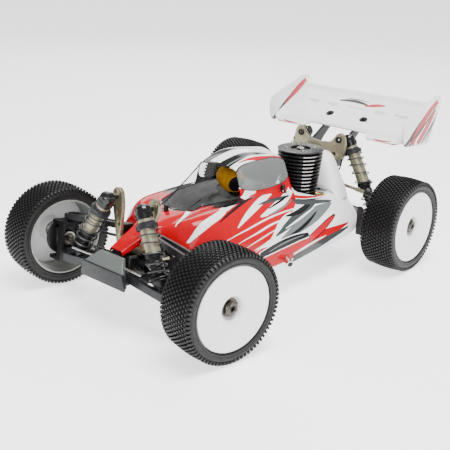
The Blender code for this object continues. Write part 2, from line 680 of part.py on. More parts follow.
def build_engine():
    """Crankcase with carburettor, the finned cooling head, and the air filter."""
    x = ENGINE_X
    y = ENGINE_Y
    crankcase = box((x - 17, y - 19, 44), (x + 17, y + 19, 84), bevel=4)
    nose = rod(12, 32, at(x, y - 32, 60) @ ALONG_Y)
    flywheel = rod(16.5, 5, at(x, y - 45, 60) @ ALONG_Y, segments=20)
    back_plate = rod(16, 14, at(x, y + 24, 60) @ ALONG_Y, segments=20)
    carburettor = rod(7, 30, at(x, y - 34, 80))
    barrel = rod(6, 30, at(x + 4, y - 34, 84) @ ALONG_X)
    port = box((x + 10, y - 2, 60), (x + 24, y + 14, 74), bevel=2)
    rails = [box((x + s * 14 - 5, y - 17, PLATE_TOP + GAP), (x + s * 14 + 5, y + 17, 50)) for s in (1, -1)]
    mesh = fuse(crankcase, nose, flywheel, back_plate, carburettor, barrel, port, *rails)
    part("engine_crankcase", mesh, "aluminium", place=at(0, ORIGIN_Y, 0))

    profile = [(0, HEAD_TOP), (25.5, HEAD_TOP)]
    for i in range(FINS):
        z = HEAD_TOP - i * FIN_PITCH
        rim = 27.5 - 0.7 * i
        profile += [(rim, z - 0.6), (rim, z - 3.6)]
        if i < FINS - 1:
            profile += [(21.0 - 0.5 * i, z - 4.0), (21.0 - 0.5 * i, z - 7.8)]
    profile += [(15, HEAD_TOP - FINS * FIN_PITCH + 2.6), (15, HEAD_FLOOR), (0, HEAD_FLOOR)]
    part("cylinder_head", fuse(turned(profile, 20)), "head_black", place=at(x, y + ORIGIN_Y, 0))

    foam = rod(14.5, 31, at(-2, -4, 114) @ Matrix.Rotation(math.radians(-28), 4, "Z")
               @ Matrix.Rotation(math.radians(97), 4, "Y"), segments=20)
    throat = Vector((x, y - 34, 96))
    bend = bezier([(2, -6, 110), (14, 6, 98), (x, 30, 112), throat + Vector((0, 0, 12)),
                   throat + Vector((0, 0, 3))], 8)
    elbow = tube(bend + [throat], 6.5)
    part("air_filter", fuse(foam, elbow), "filter_gold", place=at(0, ORIGIN_Y, 0))


def build_bay():
    """Fuel tank, tuned exhaust pipe and steering servo."""
    tank = box((-54, 8, PLATE_TOP + GAP), (-14, 66, 84), bevel=6)
    neck = rod(10, 10, at(-34, 24, 88))
    cap = rod(12, 4, at(-34, 24, 94))
    part("fuel_tank", fuse(tank, neck, cap), "tank_white", place=at(0, ORIGIN_Y, 0))

    can = turned([(0, 62), (7, 60), (13.5, 40), (13.5, -18), (6, -46), (0, -48)], 16,
                 at(68, 34, 56) @ ALONG_Y)
    header = tube(bezier([(ENGINE_X + 26.5, ENGINE_Y + 6, 67), (66, ENGINE_Y + 6, 67),
                          (74, ENGINE_Y + 40, 62), (69, ENGINE_Y + 20, 57), (68, 86, 56)], 10), 5.5)
    stinger = tube(bezier([(68, -4, 56), (68, -20, 57), (80, -14, 53), (96, -12, 42)], 8), 4.0)
    part("tuned_pipe", fuse(can, header, stinger), "pipe_silver", place=at(0, ORIGIN_Y, 0))

    case = box((-46, -84, PLATE_TOP + GAP), (-6, -64, 74), bevel=1)
    lid = rod(3.5, 8, at(-16, -74, 77))
    horn = plate([(-3.5, -4), (3.5, -4), (2.5, 18), (-2.5, 18)], 2.5, where=at(-16, -74, 79.5, math.pi))
    part("steering_servo", fuse(case, lid, horn), "plastic_black", place=at(0, ORIGIN_Y, 0))


# ---------------------------------------------------------------- body shell

# Half sections of the shell from the middle to the lower edge, one list for each station along Y.
# Points: middle, roof edge, cockpit foot, ridge, shoulder, side, lower edge.
SHELL = [
    (-182, [(0, 79), (5, 79), (8, 78.8), (9, 78), (9.5, 76.5), (9.7, 75.2), (9.7, 74)]),
    (-152, [(0, 92), (7, 91.8), (10.5, 91.2), (13, 90), (13.8, 87.5), (14, 85), (14, 83)]),
    (-139, [(0, 97), (10, 96.7), (13, 96), (15, 94.5), (16, 91), (16.5, 88), (16.5, 85)]),
    (-126, [(0, 100.5), (14, 100), (20, 98.5), (27, 98), (35, 94.5), (45, 87), (52, 78)]),
    (-116, [(0, 103), (16, 102.5), (24, 101), (37, 103.5), (46, 99.5), (54, 88), (58, 75)]),
    (-106, [(0, 105), (17, 104.5), (26, 103), (41, 106.5), (51, 102), (58, 90), (61, 76)]),
    (-96, [(0, 107), (18, 106.8), (27, 105.5), (43, 108), (54, 103), (62, 90), (65, 73)]),
    (-70, [(0, 121), (21, 119.5), (30, 108), (45, 109), (57, 102), (68, 86), (72, 62)]),
    (-45, [(0, 134.5), (24, 132), (33, 109), (46, 109), (59, 101), (76, 80), (80, 50)]),
    (-25, [(0, 145), (27, 141.5), (35, 109), (47, 108), (61, 99), (81, 76), (85, 47)]),
    (5, [(0, 152), (28, 147), (38, 107), (49, 105), (64, 97), (86, 72), (90, 45)]),
    (32, [(0, 150), (29, 144), (39, 105), (51, 102), (66, 94), (88, 70), (92, 45)]),
    (52, [(0, 145), (30, 138), (40, 103), (52, 99), (66, 92), (88, 70), (92, 45)]),
    (66, [(0, 96), (28, 96), (42, 97), (53, 97), (66, 91), (87, 70), (91, 46)]),
    (90, [(0, 88), (26, 88), (42, 90), (53, 93), (65, 89), (85, 70), (89, 47)]),
    (120, [(0, 83), (24, 83), (40, 86), (52, 88), (63, 84), (80, 68), (88, 46)]),
    (145, [(0, 80), (22, 80.5), (36, 83), (48, 84), (59, 80), (74, 66), (82, 49)]),
]
SHELL_THICK = 1.2


def build_shell():
    """The painted body: a loft over half sections, mirrored, thickened and cut open."""
    work = bmesh.new()
    rows = []
    for y, half in SHELL:
        rows.append([work.verts.new((x * MM, (y + ORIGIN_Y) * MM, z * MM)) for x, z in half])
    for first, second in zip(rows, rows[1:]):
        for a, b, c, d in zip(first, first[1:], second[1:], second):
            work.faces.new((a, b, c, d))
    mesh = bpy.data.meshes.new("body_shell")
    work.to_mesh(mesh)
    work.free()
    half_shell = bench_object("half_shell", mesh)
    mirror = half_shell.modifiers.new("mirror", "MIRROR")
    mirror.merge_threshold = 0.00001
    wall = half_shell.modifiers.new("wall", "SOLIDIFY")
    wall.thickness = SHELL_THICK * MM
    wall.offset = -1.0
    wall.use_even_offset = False
    skin = bench_object("skin", evaluated_mesh(half_shell))
    screen = box((-4, -86 + ORIGIN_Y, 111), (60, -31 + ORIGIN_Y, 160))
    head = rod(31.5, 140, at(ENGINE_X, ENGINE_Y + 2 + ORIGIN_Y, 140), segments=24)
    stinger = box((66, -28 + ORIGIN_Y, 20), (110, -3 + ORIGIN_Y, 62))
    post = rod(3.4, 30, at(0, -111 + ORIGIN_Y, 105), segments=12)
    part("body_shell", fuse(skin, cuts=(screen, head, stinger, post)), "shell_paint")


# ---------------------------------------------------------------- the car

def build():
    clear_scene()
    front_end = datum("front_end", at(0, FRONT_Y + ORIGIN_Y, AXLE_Z, -KICK_UP, "X"))
    rear_end = datum("rear_end", at(0, REAR_Y + ORIGIN_Y, AXLE_Z))
    for tag, side in (("fl", 1), ("fr", -1)):
        build_corner(tag, side, front_end, -1, FRONT_SHOCK)
    for tag, side in (("rl", 1), ("rr", -1)):
        build_corner(tag, side, rear_end, 1, REAR_SHOCK)
    build_steering(front_end)
    build_chassis()
    build_bumper()
    build_front_end(front_end)
    build_rear_end(rear_end)
    build_wing()
    build_engine()
    build_bay()
    build_shell()


build()
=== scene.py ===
"""Looks of the 1/8-scale off-road buggy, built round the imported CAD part.

Shapes are made in millimetres measured from the middle of the wheelbase on the ground (+X the car's
left, -Y its front, +Z up) and are brought into the row frame by CAR.
"""

import json
import math

import bmesh
import bpy
from mathutils import Matrix, Vector
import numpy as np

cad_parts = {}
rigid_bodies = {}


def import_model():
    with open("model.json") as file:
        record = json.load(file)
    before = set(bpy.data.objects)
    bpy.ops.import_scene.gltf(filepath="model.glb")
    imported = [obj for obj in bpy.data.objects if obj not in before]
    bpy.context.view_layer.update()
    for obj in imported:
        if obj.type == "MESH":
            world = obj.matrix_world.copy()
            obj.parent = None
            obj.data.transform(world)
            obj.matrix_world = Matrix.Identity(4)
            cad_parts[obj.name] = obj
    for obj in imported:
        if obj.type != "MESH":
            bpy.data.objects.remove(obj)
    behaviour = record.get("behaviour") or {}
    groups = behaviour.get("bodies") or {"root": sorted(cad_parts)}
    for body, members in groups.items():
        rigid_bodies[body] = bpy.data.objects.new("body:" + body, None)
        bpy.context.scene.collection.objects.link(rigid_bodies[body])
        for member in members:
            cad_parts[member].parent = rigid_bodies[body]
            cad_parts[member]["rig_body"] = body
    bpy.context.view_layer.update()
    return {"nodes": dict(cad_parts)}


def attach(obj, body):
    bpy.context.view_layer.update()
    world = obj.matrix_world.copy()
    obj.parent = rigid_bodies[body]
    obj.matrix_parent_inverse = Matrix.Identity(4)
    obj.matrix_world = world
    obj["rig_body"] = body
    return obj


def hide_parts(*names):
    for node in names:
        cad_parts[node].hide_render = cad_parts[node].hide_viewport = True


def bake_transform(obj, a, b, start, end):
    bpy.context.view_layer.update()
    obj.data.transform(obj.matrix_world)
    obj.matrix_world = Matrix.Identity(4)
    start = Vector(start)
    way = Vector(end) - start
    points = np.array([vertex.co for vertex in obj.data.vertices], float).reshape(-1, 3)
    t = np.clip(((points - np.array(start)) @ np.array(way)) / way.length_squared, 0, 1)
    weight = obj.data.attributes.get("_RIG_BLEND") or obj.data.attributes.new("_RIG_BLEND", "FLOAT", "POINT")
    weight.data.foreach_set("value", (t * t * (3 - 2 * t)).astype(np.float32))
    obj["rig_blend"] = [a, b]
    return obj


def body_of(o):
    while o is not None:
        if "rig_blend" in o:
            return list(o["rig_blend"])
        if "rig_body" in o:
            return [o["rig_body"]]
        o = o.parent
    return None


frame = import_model()

MM = 0.001
ORIGIN_Y = -28.95
AXLE_Z = 57.0
FRONT_Y = -161.25
REAR_Y = 161.25
KICK_UP = math.radians(9.0)
STEER = math.radians(-9.0)
KINGPIN_X = 108.0
HUB_OUT = 21.5

INNER_PIN = Vector((22.0, 0.0, -6.0))
OUTER_PIN = Vector((99.0, 0.0, -13.5))
ARM = OUTER_PIN - INNER_PIN
UPPER_OUTER = Vector((101.0, 0.0, 27.0))
UPPER_INNER = UPPER_OUTER - ARM
ARM_TILT = math.atan2(-ARM.z, ARM.x)
FRONT_SHOCK = (Vector((26.5, -18.5, 65.5)), Vector((70.0, -18.5, -10.7)), 0.0)
REAR_SHOCK = (Vector((33.0, 20.5, 84.0)), Vector((86.0, 20.5, -12.2)), 14.0)
CUP_HEIGHT = 19.0

WHEEL_STEPS = 96
STEPS = 32

CAR = Matrix.Scale(MM, 4) @ Matrix.Translation((0.0, ORIGIN_Y, 0.0))
FRONT = Matrix.Translation((0.0, FRONT_Y, AXLE_Z)) @ Matrix.Rotation(-KICK_UP, 4, "X")
REAR = Matrix.Translation((0.0, REAR_Y, AXLE_Z))
FLIP = Matrix.Diagonal((-1.0, 1.0, 1.0, 1.0))
NONE = Matrix.Identity(4)
ALONG_X = Matrix.Rotation(math.pi / 2, 4, "Y")
ALONG_Y = Matrix.Rotation(-math.pi / 2, 4, "X")
UPRIGHT = Matrix.Rotation(math.pi / 2, 4, "X")
SIDEWAYS = Matrix(((0, 0, 1, 0), (1, 0, 0, 0), (0, 1, 0, 0), (0, 0, 0, 1)))
CORNERS = (("fl", 1, True), ("fr", -1, True), ("rl", 1, False), ("rr", -1, False))


def at(x=0.0, y=0.0, z=0.0, turn=None, axis="Z"):
    place = Matrix.Translation((x, y, z))
    if turn is not None:
        place = place @ Matrix.Rotation(turn, 4, axis)
    return place


# ---------------------------------------------------------------- materials

class Net:
    """Short words for building a material's node network."""

    def __init__(self, name):
        self.material = bpy.data.materials.new(name)
        self.material.use_nodes = True
        self.tree = self.material.node_tree
        self.shader = self.tree.nodes["Principled BSDF"]
        self.place = self.tree.nodes.new("ShaderNodeTexCoord").outputs["Object"]

    def node(self, kind, settings=None, **inputs):
        made = self.tree.nodes.new(kind)
        for key, value in (settings or {}).items():
            setattr(made, key, value)
        for key, value in inputs.items():
            self.feed(made.inputs[key.replace("_", " ")], value)
        return made

    def feed(self, socket, value):
        if isinstance(value, bpy.types.NodeSocket):
            self.tree.links.new(value, socket)
        else:
            socket.default_value = value

    def calc(self, operation, a, b=0.0, c=0.0, clamp=False):
        made = self.tree.nodes.new("ShaderNodeMath")
        made.operation = operation
        made.use_clamp = clamp
        for socket, value in zip(made.inputs, (a, b, c)):
            self.feed(socket, value)
        return made.outputs[0]

    def add(self, a, b):
        return self.calc("ADD", a, b)

    def less(self, a, b):
        return self.calc("SUBTRACT", a, b)

    def times(self, a, b):
        return self.calc("MULTIPLY", a, b)

    def both(self, *values):
        """The smallest of several signed insides: positive only where all are."""
        result = values[0]
        for value in values[1:]:
            result = self.calc("MINIMUM", result, value)
        return result

    def edge(self, inside, soft=0.25):
        """0 or 1 from a signed inside in millimetres, with a soft edge."""
        return self.calc("MULTIPLY_ADD", inside, 1.0 / soft, 0.5, clamp=True)

    def mix(self, share, a, b):
        made = self.tree.nodes.new("ShaderNodeMix")
        made.data_type = "RGBA"
        self.feed(made.inputs["Factor"], share)
        self.feed(made.inputs["A"], (*a, 1.0) if isinstance(a, tuple) else a)
        self.feed(made.inputs["B"], (*b, 1.0) if isinstance(b, tuple) else b)
        return made.outputs["Result"]

    def noise(self, scale, detail=3.0, stretch=(1.0, 1.0, 1.0)):
        spread = self.node("ShaderNodeMapping", Vector=self.place, Scale=stretch)
        made = self.node("ShaderNodeTexNoise", Vector=spread.outputs[0], Scale=scale, Detail=detail)
        return made.outputs["Fac"]

    def rough(self, low, high, scale):
        span = self.tree.nodes.new("ShaderNodeMapRange")
        self.feed(span.inputs["Value"], self.noise(scale))
        span.inputs["From Min"].default_value = 0.3
        span.inputs["From Max"].default_value = 0.7
        span.inputs["To Min"].default_value = low
        span.inputs["To Max"].default_value = high
        self.feed(self.shader.inputs["Roughness"], span.outputs["Result"])

    def bump(self, height, strength, distance=0.0004):
        made = self.node("ShaderNodeBump", Strength=strength, Distance=distance, Height=height)
        self.feed(self.shader.inputs["Normal"], made.outputs["Normal"])


def surface(name, colour, rough, metal=0.0, grain=600.0, vary=0.12, bump=0.15, shine=0.5,
            stretch=(1.0, 1.0, 1.0)):
    """A plain finish with a little unevenness in colour, gloss and height."""
    net = Net(name)
    cloud = net.noise(grain * 0.12, stretch=stretch)
    dark = tuple(c * (1 - vary) for c in colour)
    light = tuple(min(1.0, c * (1 + vary)) for c in colour)
    net.feed(net.shader.inputs["Base Color"], net.mix(cloud, dark, light))
    net.shader.inputs["Metallic"].default_value = metal
    net.shader.inputs["Specular IOR Level"].default_value = shine
    net.rough(max(0.03, rough - 0.08), rough + 0.08, grain * 0.2)
    net.bump(net.noise(grain, stretch=stretch), bump)
    return net.material


RUBBER = surface("tyre_rubber_look", (0.007, 0.007, 0.007), 0.5, grain=1500, vary=0.3, bump=0.3, shine=0.3)
DISH = surface("dish_white_look", (0.86, 0.87, 0.87), 0.32, grain=500, vary=0.02, bump=0.03)
# Painted shade: the white wheel's barrel, back and recess floor are given this dark grey to stand in for the
# shade inside the wheel.
DISH_SHADE = surface("dish_shade_look", (0.21, 0.22, 0.20), 0.42, grain=500, vary=0.05, bump=0.1)
NUT = surface("wheel_nut_look", (0.085, 0.078, 0.066), 0.3, metal=1.0, grain=1200, bump=0.06)
STEEL = surface("bright_steel_look", (0.5, 0.49, 0.46), 0.28, metal=1.0, grain=1500, bump=0.05,
                stretch=(1.0, 1.0, 8.0))
DARK_STEEL = surface("dark_steel_look", (0.09, 0.088, 0.085), 0.34, metal=0.9, grain=1500, bump=0.05)
GLOSS = surface("gloss_black_look", (0.004, 0.004, 0.0042), 0.16, grain=1300, vary=0.2, bump=0.03)
BLACK = surface("black_nylon_look", (0.005, 0.005, 0.0052), 0.38, grain=1300, vary=0.3, bump=0.1, shine=0.28)
GREY = surface("grey_nylon_look", (0.016, 0.017, 0.019), 0.36, grain=1300, vary=0.15, bump=0.12, shine=0.3)
# Painted light and shade on the one nylon front bumper: a lit grey for its upward slope and a shaded
# near-black for its faces.
BUMPER_LIT = surface("bumper_lit_look", (0.095, 0.105, 0.10), 0.42, grain=1000, vary=0.08, bump=0.15)
BUMPER_SHADED = surface("bumper_shaded_look", (0.010, 0.011, 0.012), 0.45, grain=1000, vary=0.1, bump=0.15,
                      shine=0.35)
KHAKI = surface("hard_anodised_look", (0.27, 0.245, 0.16), 0.34, metal=0.8, grain=1400, bump=0.05)
KHAKI_DARK = surface("shock_body_look", (0.28, 0.255, 0.175), 0.36, metal=0.6, grain=900, bump=0.02)
ALLOY = surface("machined_alloy_look", (0.6, 0.6, 0.6), 0.33, metal=1.0, grain=900, bump=0.06,
                stretch=(1.0, 12.0, 1.0))
SPRING = surface("spring_wire_look", (0.06, 0.062, 0.065), 0.35, metal=0.6, grain=900, bump=0.05)
HEAD = surface("head_anodised_look", (0.006, 0.006, 0.0065), 0.3, metal=0.3, grain=900, bump=0.05, shine=0.35)
# Painted highlight: bright metal for the fin edges on one side of the black head, in place of the lamps'
# highlight.
HEAD_GLINT = surface("fin_glint_look", (0.34, 0.31, 0.30), 0.22, metal=1.0, grain=900, bump=0.04)
FOAM = surface("filter_foam_look", (0.60, 0.27, 0.008), 0.8, grain=1600, vary=0.35, bump=0.9, shine=0.2)
TANK = surface("tank_nylon_look", (0.42, 0.45, 0.43), 0.42, grain=400, vary=0.05, bump=0.05)
BRASS = surface("brass_look", (0.62, 0.44, 0.16), 0.3, metal=1.0, grain=900, bump=0.05)
PIPE = surface("polished_pipe_look", (0.74, 0.75, 0.76), 0.2, metal=1.0, grain=500, bump=0.04)


# ---------------------------------------------------------------- mesh tools

def lathe(profile, steps=STEPS, closed=False):
    """A turned shape about Z from (radius, height) points listed down its outer side."""
    shape = bmesh.new()
    rings = []
    for radius, height in profile:
        if radius == 0:
            rings.append([shape.verts.new((0, 0, height))])
            continue
        turns = [2 * math.pi * i / steps for i in range(steps)]
        rings.append([shape.verts.new((radius * math.cos(t), radius * math.sin(t), height)) for t in turns])
    pairs = list(zip(rings, rings[1:]))
    if closed:
        pairs.append((rings[-1], rings[0]))
    for upper, lower in pairs:
        for i in range(steps):
            j = (i + 1) % steps
            ring = [upper[i % len(upper)], lower[i % len(lower)], lower[j % len(lower)],
                    upper[j % len(upper)]]
            corners = list(dict.fromkeys(ring))
            if len(corners) > 2:
                shape.faces.new(corners)
    return shape


def block(low, high, bevel=0.6, segments=2):
    """A block from corner to corner with rounded edges."""
    shape = bmesh.new()
    low = Vector(low)
    high = Vector(high)
    size = Matrix.Diagonal((high - low).to_4d())
    bmesh.ops.create_cube(shape, size=1.0, matrix=Matrix.Translation((low + high) / 2) @ size)
    if bevel:
        bmesh.ops.bevel(shape, geom=shape.edges[:], offset=bevel, segments=segments, affect="EDGES",
                        profile=0.5)
    return shape


def linked(name, data):
    """A new object for the data, put in the scene."""
    obj = bpy.data.objects.new(name, data)
    bpy.context.scene.collection.objects.link(obj)
    return obj


def from_curve(curve):
    obj = linked("curve_tool", curve)
    bpy.context.view_layer.update()
    made = bpy.data.meshes.new_from_object(obj.evaluated_get(bpy.context.evaluated_depsgraph_get()))
    bpy.data.objects.remove(obj, do_unlink=True)
    shape = bmesh.new()
    shape.from_mesh(made)
    bpy.data.meshes.remove(made)
    bmesh.ops.remove_doubles(shape, verts=shape.verts, dist=0.0005)
    return shape


def slab(outline, thickness, holes=(), bevel=0.5):
    """A flat plate in its own XY plane, centred on it, with rounded rims."""
    curve = bpy.data.curves.new("slab", "CURVE")
    curve.dimensions = "2D"
    curve.fill_mode = "BOTH"
    curve.extrude = thickness / 2 - bevel
    curve.bevel_depth = bevel
    curve.bevel_resolution = 2
    curve.offset = -bevel
    for ring in (outline, *holes):
        spline = curve.splines.new("POLY")
        spline.points.add(len(ring) - 1)
        for point, (x, y) in zip(spline.points, ring):
            point.co = (x, y, 0.0, 1.0)
        spline.use_cyclic_u = True
    return from_curve(curve)


def tube(points, radius, resolution=3, smooth=True):
    """A round bar or wire through a list of points, with filled ends."""
    curve = bpy.data.curves.new("tube", "CURVE")
    curve.dimensions = "3D"
    curve.bevel_depth = radius
    curve.bevel_resolution = resolution
    curve.use_fill_caps = True
    spline = curve.splines.new("NURBS" if smooth and len(points) > 2 else "POLY")
    spline.points.add(len(points) - 1)
    for target, point in zip(spline.points, points):
        target.co = (*point, 1.0)
    spline.use_endpoint_u = True
    spline.order_u = min(4, len(points))
    spline.resolution_u = 6
    return from_curve(curve)


def circle(radius, x=0.0, y=0.0, count=20):
    turns = [2 * math.pi * i / count for i in range(count)]
    return [(x + radius * math.cos(t), y + radius * math.sin(t)) for t in turns]


def rounded(outline, radius, count=3):
    """The outline with its corners rounded off."""
    result = []
    for i, here in enumerate(outline):
        here = Vector(here)
        before = Vector(outline[i - 1])
        after = Vector(outline[(i + 1) % len(outline)])
        into = min(radius, (here - before).length * 0.45)
        out = min(radius, (after - here).length * 0.45)
        a = here + (before - here).normalized() * into
        b = here + (after - here).normalized() * out
        for k in range(count + 1):
            t = k / count
            result.append(tuple(a.lerp(here, t).lerp(here.lerp(b, t), t)))
    return result


def both_sides(half):
    """A closed outline from its right half, listed from bottom to top."""
    return half + [(-x, z) for x, z in reversed(half) if x > 0]


def merged(*shapes):
    """Several shapes as one; each is a bmesh, or a (bmesh, place) pair."""
    result = bmesh.new()
    for item in shapes:
        shape, place = item if isinstance(item, tuple) else (item, NONE)
        step = bpy.data.meshes.new("step")
        bmesh.ops.transform(shape, matrix=place, verts=shape.verts)
        if place.determinant() < 0:
            bmesh.ops.reverse_faces(shape, faces=shape.faces)
        shape.to_mesh(step)
        shape.free()
        result.from_mesh(step)
        bpy.data.meshes.remove(step)
    return result


def piece(name, shape, look, body, place=NONE, angle=35.0, stands_for=(), fix=True):
    """Turns a shape into a shown object that rides on a body. place is in car millimetres."""
    whole = CAR @ place
    if fix:
        bmesh.ops.recalc_face_normals(shape, faces=shape.faces)
    bmesh.ops.transform(shape, matrix=whole, verts=shape.verts)
    if whole.determinant() < 0:
        bmesh.ops.reverse_faces(shape, faces=shape.faces)
    mesh = bpy.data.meshes.new(name)
    shape.to_mesh(mesh)
    shape.free()
    for one in look if isinstance(look, (list, tuple)) else [look]:
        mesh.materials.append(one)
    mesh.shade_smooth()
    mesh.set_sharp_from_angle(angle=math.radians(angle))
    obj = linked(name, mesh)
    if body:
        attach(obj, body)
    if stands_for:
        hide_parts(*stands_for)
    return obj


def refined(node, look, width=0.5, segments=2):
    """A copy of a CAD node with its sharp edges rounded off; it stands for the node."""
    source = frame["nodes"][node]
    mesh = source.data.copy()
    mesh.materials.clear()
    mesh.materials.append(look)
    work = bmesh.new()
    work.from_mesh(mesh)
    bmesh.ops.remove_doubles(work, verts=work.verts, dist=0.000001)
    bmesh.ops.dissolve_limit(work, angle_limit=math.radians(1), verts=work.verts, edges=work.edges)
    bmesh.ops.connect_verts_concave(work, faces=work.faces)
    work.to_mesh(mesh)
    work.free()
    obj = linked(node + "_look", mesh)
    edge = obj.modifiers.new("rounded", "BEVEL")
    edge.width = width * MM
    edge.segments = segments
    edge.limit_method = "ANGLE"
    edge.angle_limit = math.radians(40)
    edge.harden_normals = True
    mesh.shade_smooth()
    mesh.set_sharp_from_angle(angle=math.radians(40))
    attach(obj, body_of(source)[0])
    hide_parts(node)
    return obj


def screw_head(radius=2.6, height=2.0):
    """A button head screw with a six-sided socket; its head stands up along Z from 0."""
    socket = radius * 0.5
    head = lathe([(socket, height * 0.55), (socket, height), (radius * 0.75, height),
                  (radius, height * 0.5), (radius, 0)], 18)
    floor = lathe([(0, height * 0.55), (socket, height * 0.55)], 18)
    return merged(head, floor)


# ---------------------------------------------------------------- wheels

def hub_place(side, front):
    y = FRONT_Y if front else REAR_Y
    turn = STEER if front else 0.0
    place = at(side * KINGPIN_X, y, AXLE_Z, turn)
    if side < 0:
        place = place @ FLIP
    return place @ at(HUB_OUT) @ ALONG_X


TREAD_ROWS = 11
ROW_PITCH = 3.45
PINS_AROUND = 76


def tyre_shape():
    """Carcass with a pin tread: rows of small square pins, staggered, and shoulder blocks."""
    half = [(44.0, 18.0), (44.0, 20.6), (45.2, 21.3), (46.4, 20.9), (48.0, 21.4), (50.0, 21.5),
            (51.8, 21.0), (53.0, 19.8), (53.9, 16.5), (54.4, 10.0)]
    profile = half + [(54.6, 0.0)] + [(r, -z) for r, z in reversed(half)]
    carcass = lathe(profile, WHEEL_STEPS, closed=True)
    pins = bmesh.new()
    for row in range(TREAD_ROWS):
        z = (row - (TREAD_ROWS - 1) / 2) * ROW_PITCH
        bottom = 54.2 - 0.004 * z * z
        top = 57.0 - 0.0045 * z * z
        for i in range(PINS_AROUND):
            turn = 2 * math.pi * (i + 0.5 * (row % 2)) / PINS_AROUND
            frustum(pins, turn, z, bottom - 0.8, top, 1.35, 1.05)
    for sign in (-1, 1):
        for i in range(PINS_AROUND):
            turn = 2 * math.pi * (i + 0.5) / PINS_AROUND
            shoulder(pins, turn, sign)
    return merged(carcass, pins)


def frustum(shape, turn, z, bottom, top, foot, crown):
    """One square pin of the tread."""
    c = math.cos(turn)
    s = math.sin(turn)
    corners = []
    for radius, half in ((bottom, foot), (top, crown)):
        for across, along in ((-1, -1), (1, -1), (1, 1), (-1, 1)):
            x = radius
            y = across * half
            corners.append(shape.verts.new((x * c - y * s, x * s + y * c, z + along * half)))
    low, high = corners[:4], corners[4:]
    shape.faces.new(high)
    for i in range(4):
        j = (i + 1) % 4
        shape.faces.new((low[i], low[j], high[j], high[i]))


def shoulder(shape, turn, sign):
    """One longer block on the tyre's shoulder."""
    c = math.cos(turn)
    s = math.sin(turn)
    outline = [(52.3, 21.7), (54.9, 21.5), (56.1, 19.6), (53.0, 18.4)]
    sides = []
    for across in (-1.25, 1.25):
        sides.append([shape.verts.new((r * c - across * s, r * s + across * c, sign * z))
                      for r, z in outline])
    near, far = sides
    shape.faces.new(near)
    shape.faces.new(list(reversed(far)))
    for i in range(4):
        j = (i + 1) % 4
        shape.faces.new((near[i], far[i], far[j], near[j]))


def arc(points, count=4):
    """A profile with each inner corner rounded into a curve."""
    result = [points[0]]
    for before, here, after in zip(points, points[1:], points[2:]):
        here = Vector(here)
        a = here.lerp(Vector(before), 0.4)
        b = here.lerp(Vector(after), 0.4)
        for k in range(count + 1):
            t = k / count
            result.append(tuple(a.lerp(here, t).lerp(here.lerp(b, t), t)))
    result.append(points[-1])
    return result


def rim_shapes():
    """The dish's outer face, and the barrel and back seen from inside the car, which with the recess floor
    take painted shade.
    """
    outside = [(8.0, 12.0)] + arc([(10.4, 12.0), (12.6, 17.6), (17.0, 20.2), (31.0, 21.4),
               (40.8, 20.6), (42.6, 20.4)]) + [(43.2, 19.4), (43.4, 18.4), (43.4, 17.6)]
    face = lathe(outside + [(42.0, 17.4), (28.0, 18.9), (15.0, 17.3), (12.2, 10.9), (8.0, 10.9)],
                 WHEEL_STEPS, closed=True)
    barrel = lathe([(42.9, 18.0), (42.9, 6.0), (40.9, 3.0), (40.9, -9.0), (42.9, -13.0), (43.4, -20.0),
                    (42.6, -20.6), (41.4, -20.6), (41.0, -14.0), (39.4, -10.0), (39.4, 4.0),
                    (41.0, 8.0), (41.0, 17.2)], WHEEL_STEPS, closed=True)
    # The recess floor under the nut, dark as painted shade.
    pad = lathe([(4.2, 12.9), (9.9, 12.9), (9.9, 10.8), (4.2, 10.8)], STEPS, closed=True)
    return face, merged(barrel, pad)


def axle_shapes():
    """Flanged wheel nut with a hexagon, and the axle with its hexagon hub and drive cup."""
    nut = lathe([(3.4, 17.4), (6.8, 17.4), (8.2, 16.4), (8.2, 12.6)], 6)
    flange = lathe([(3.2, 17.2), (3.6, 18.0), (4.9, 18.0), (5.2, 17.6), (5.2, 14.0), (8.3, 13.8), (8.9, 13.2),
                    (8.9, 12.1), (3.2, 12.1)], STEPS)
    teeth = []
    for i in range(30):
        teeth.append((block((8.3, -0.4, 12.1), (9.15, 0.4, 13.3), bevel=0.1, segments=1),
                      at(turn=2 * math.pi * i / 30)))
    stub = lathe([(2.0, 15.0), (2.0, 17.4), (2.6, 17.6), (3.3, 17.2), (3.3, 12.7)], STEPS)
    socket = lathe([(0, 15.4), (2.1, 15.4)], 12)
    hexagon = lathe([(4.0, 10.7), (9.2, 10.7), (9.6, 10.2), (9.6, 4.8), (9.2, 4.2), (3.9, 4.2)], 6)
    axle = lathe([(3.9, 4.3), (3.9, -13.5), (7.0, -13.8), (8.2, -15.0), (8.2, -26.2), (7.9, -26.5),
                  (6.7, -26.5), (6.5, -26.2), (6.5, -16.5), (0, -16.5)], STEPS)
    return merged(nut, flange, *teeth), merged(stub, socket), merged(hexagon, axle)


def build_wheels():
    for tag, side, front in CORNERS:
        body = "wheel_" + tag
        place = hub_place(side, front)
        piece("tyre_look_" + tag, tyre_shape(), RUBBER, body, place, 30, ["tyre_" + tag],
              fix=False)
        face, back = rim_shapes()
        piece("rim_face_" + tag, face, DISH, body, place, 30, ["rim_" + tag])
        # Barrel, back and recess floor in painted shade.
        piece("rim_back_" + tag, back, DISH_SHADE, body, place, 30)
        nut, stub, axle = axle_shapes()
        piece("wheel_nut_" + tag, nut, NUT, body, place, 30, ["wheel_axle_" + tag])
        piece("axle_end_" + tag, stub, BLACK, body, place, 30)
        piece("axle_look_" + tag, axle, STEEL, body, place, 30)


# ---------------------------------------------------------------- shocks

def shock_place(top, foot):
    up = (top - foot).normalized()
    across = Vector((0, 1, 0)).cross(up)
    turn = Matrix((across, (0, 1, 0), up)).transposed().to_4x4()
    return Matrix.Translation(top) @ turn


def ribbed(radius, top, bottom, count=28):
    """Grip ribs round a cap or a collar."""
    ribs = []
    for i in range(count):
        rib = block((radius - 0.6, -0.35, bottom), (radius + 0.45, 0.35, top), bevel=0.15, segments=1)
        ribs.append((rib, at(turn=2 * math.pi * i / count)))
    return merged(*ribs)


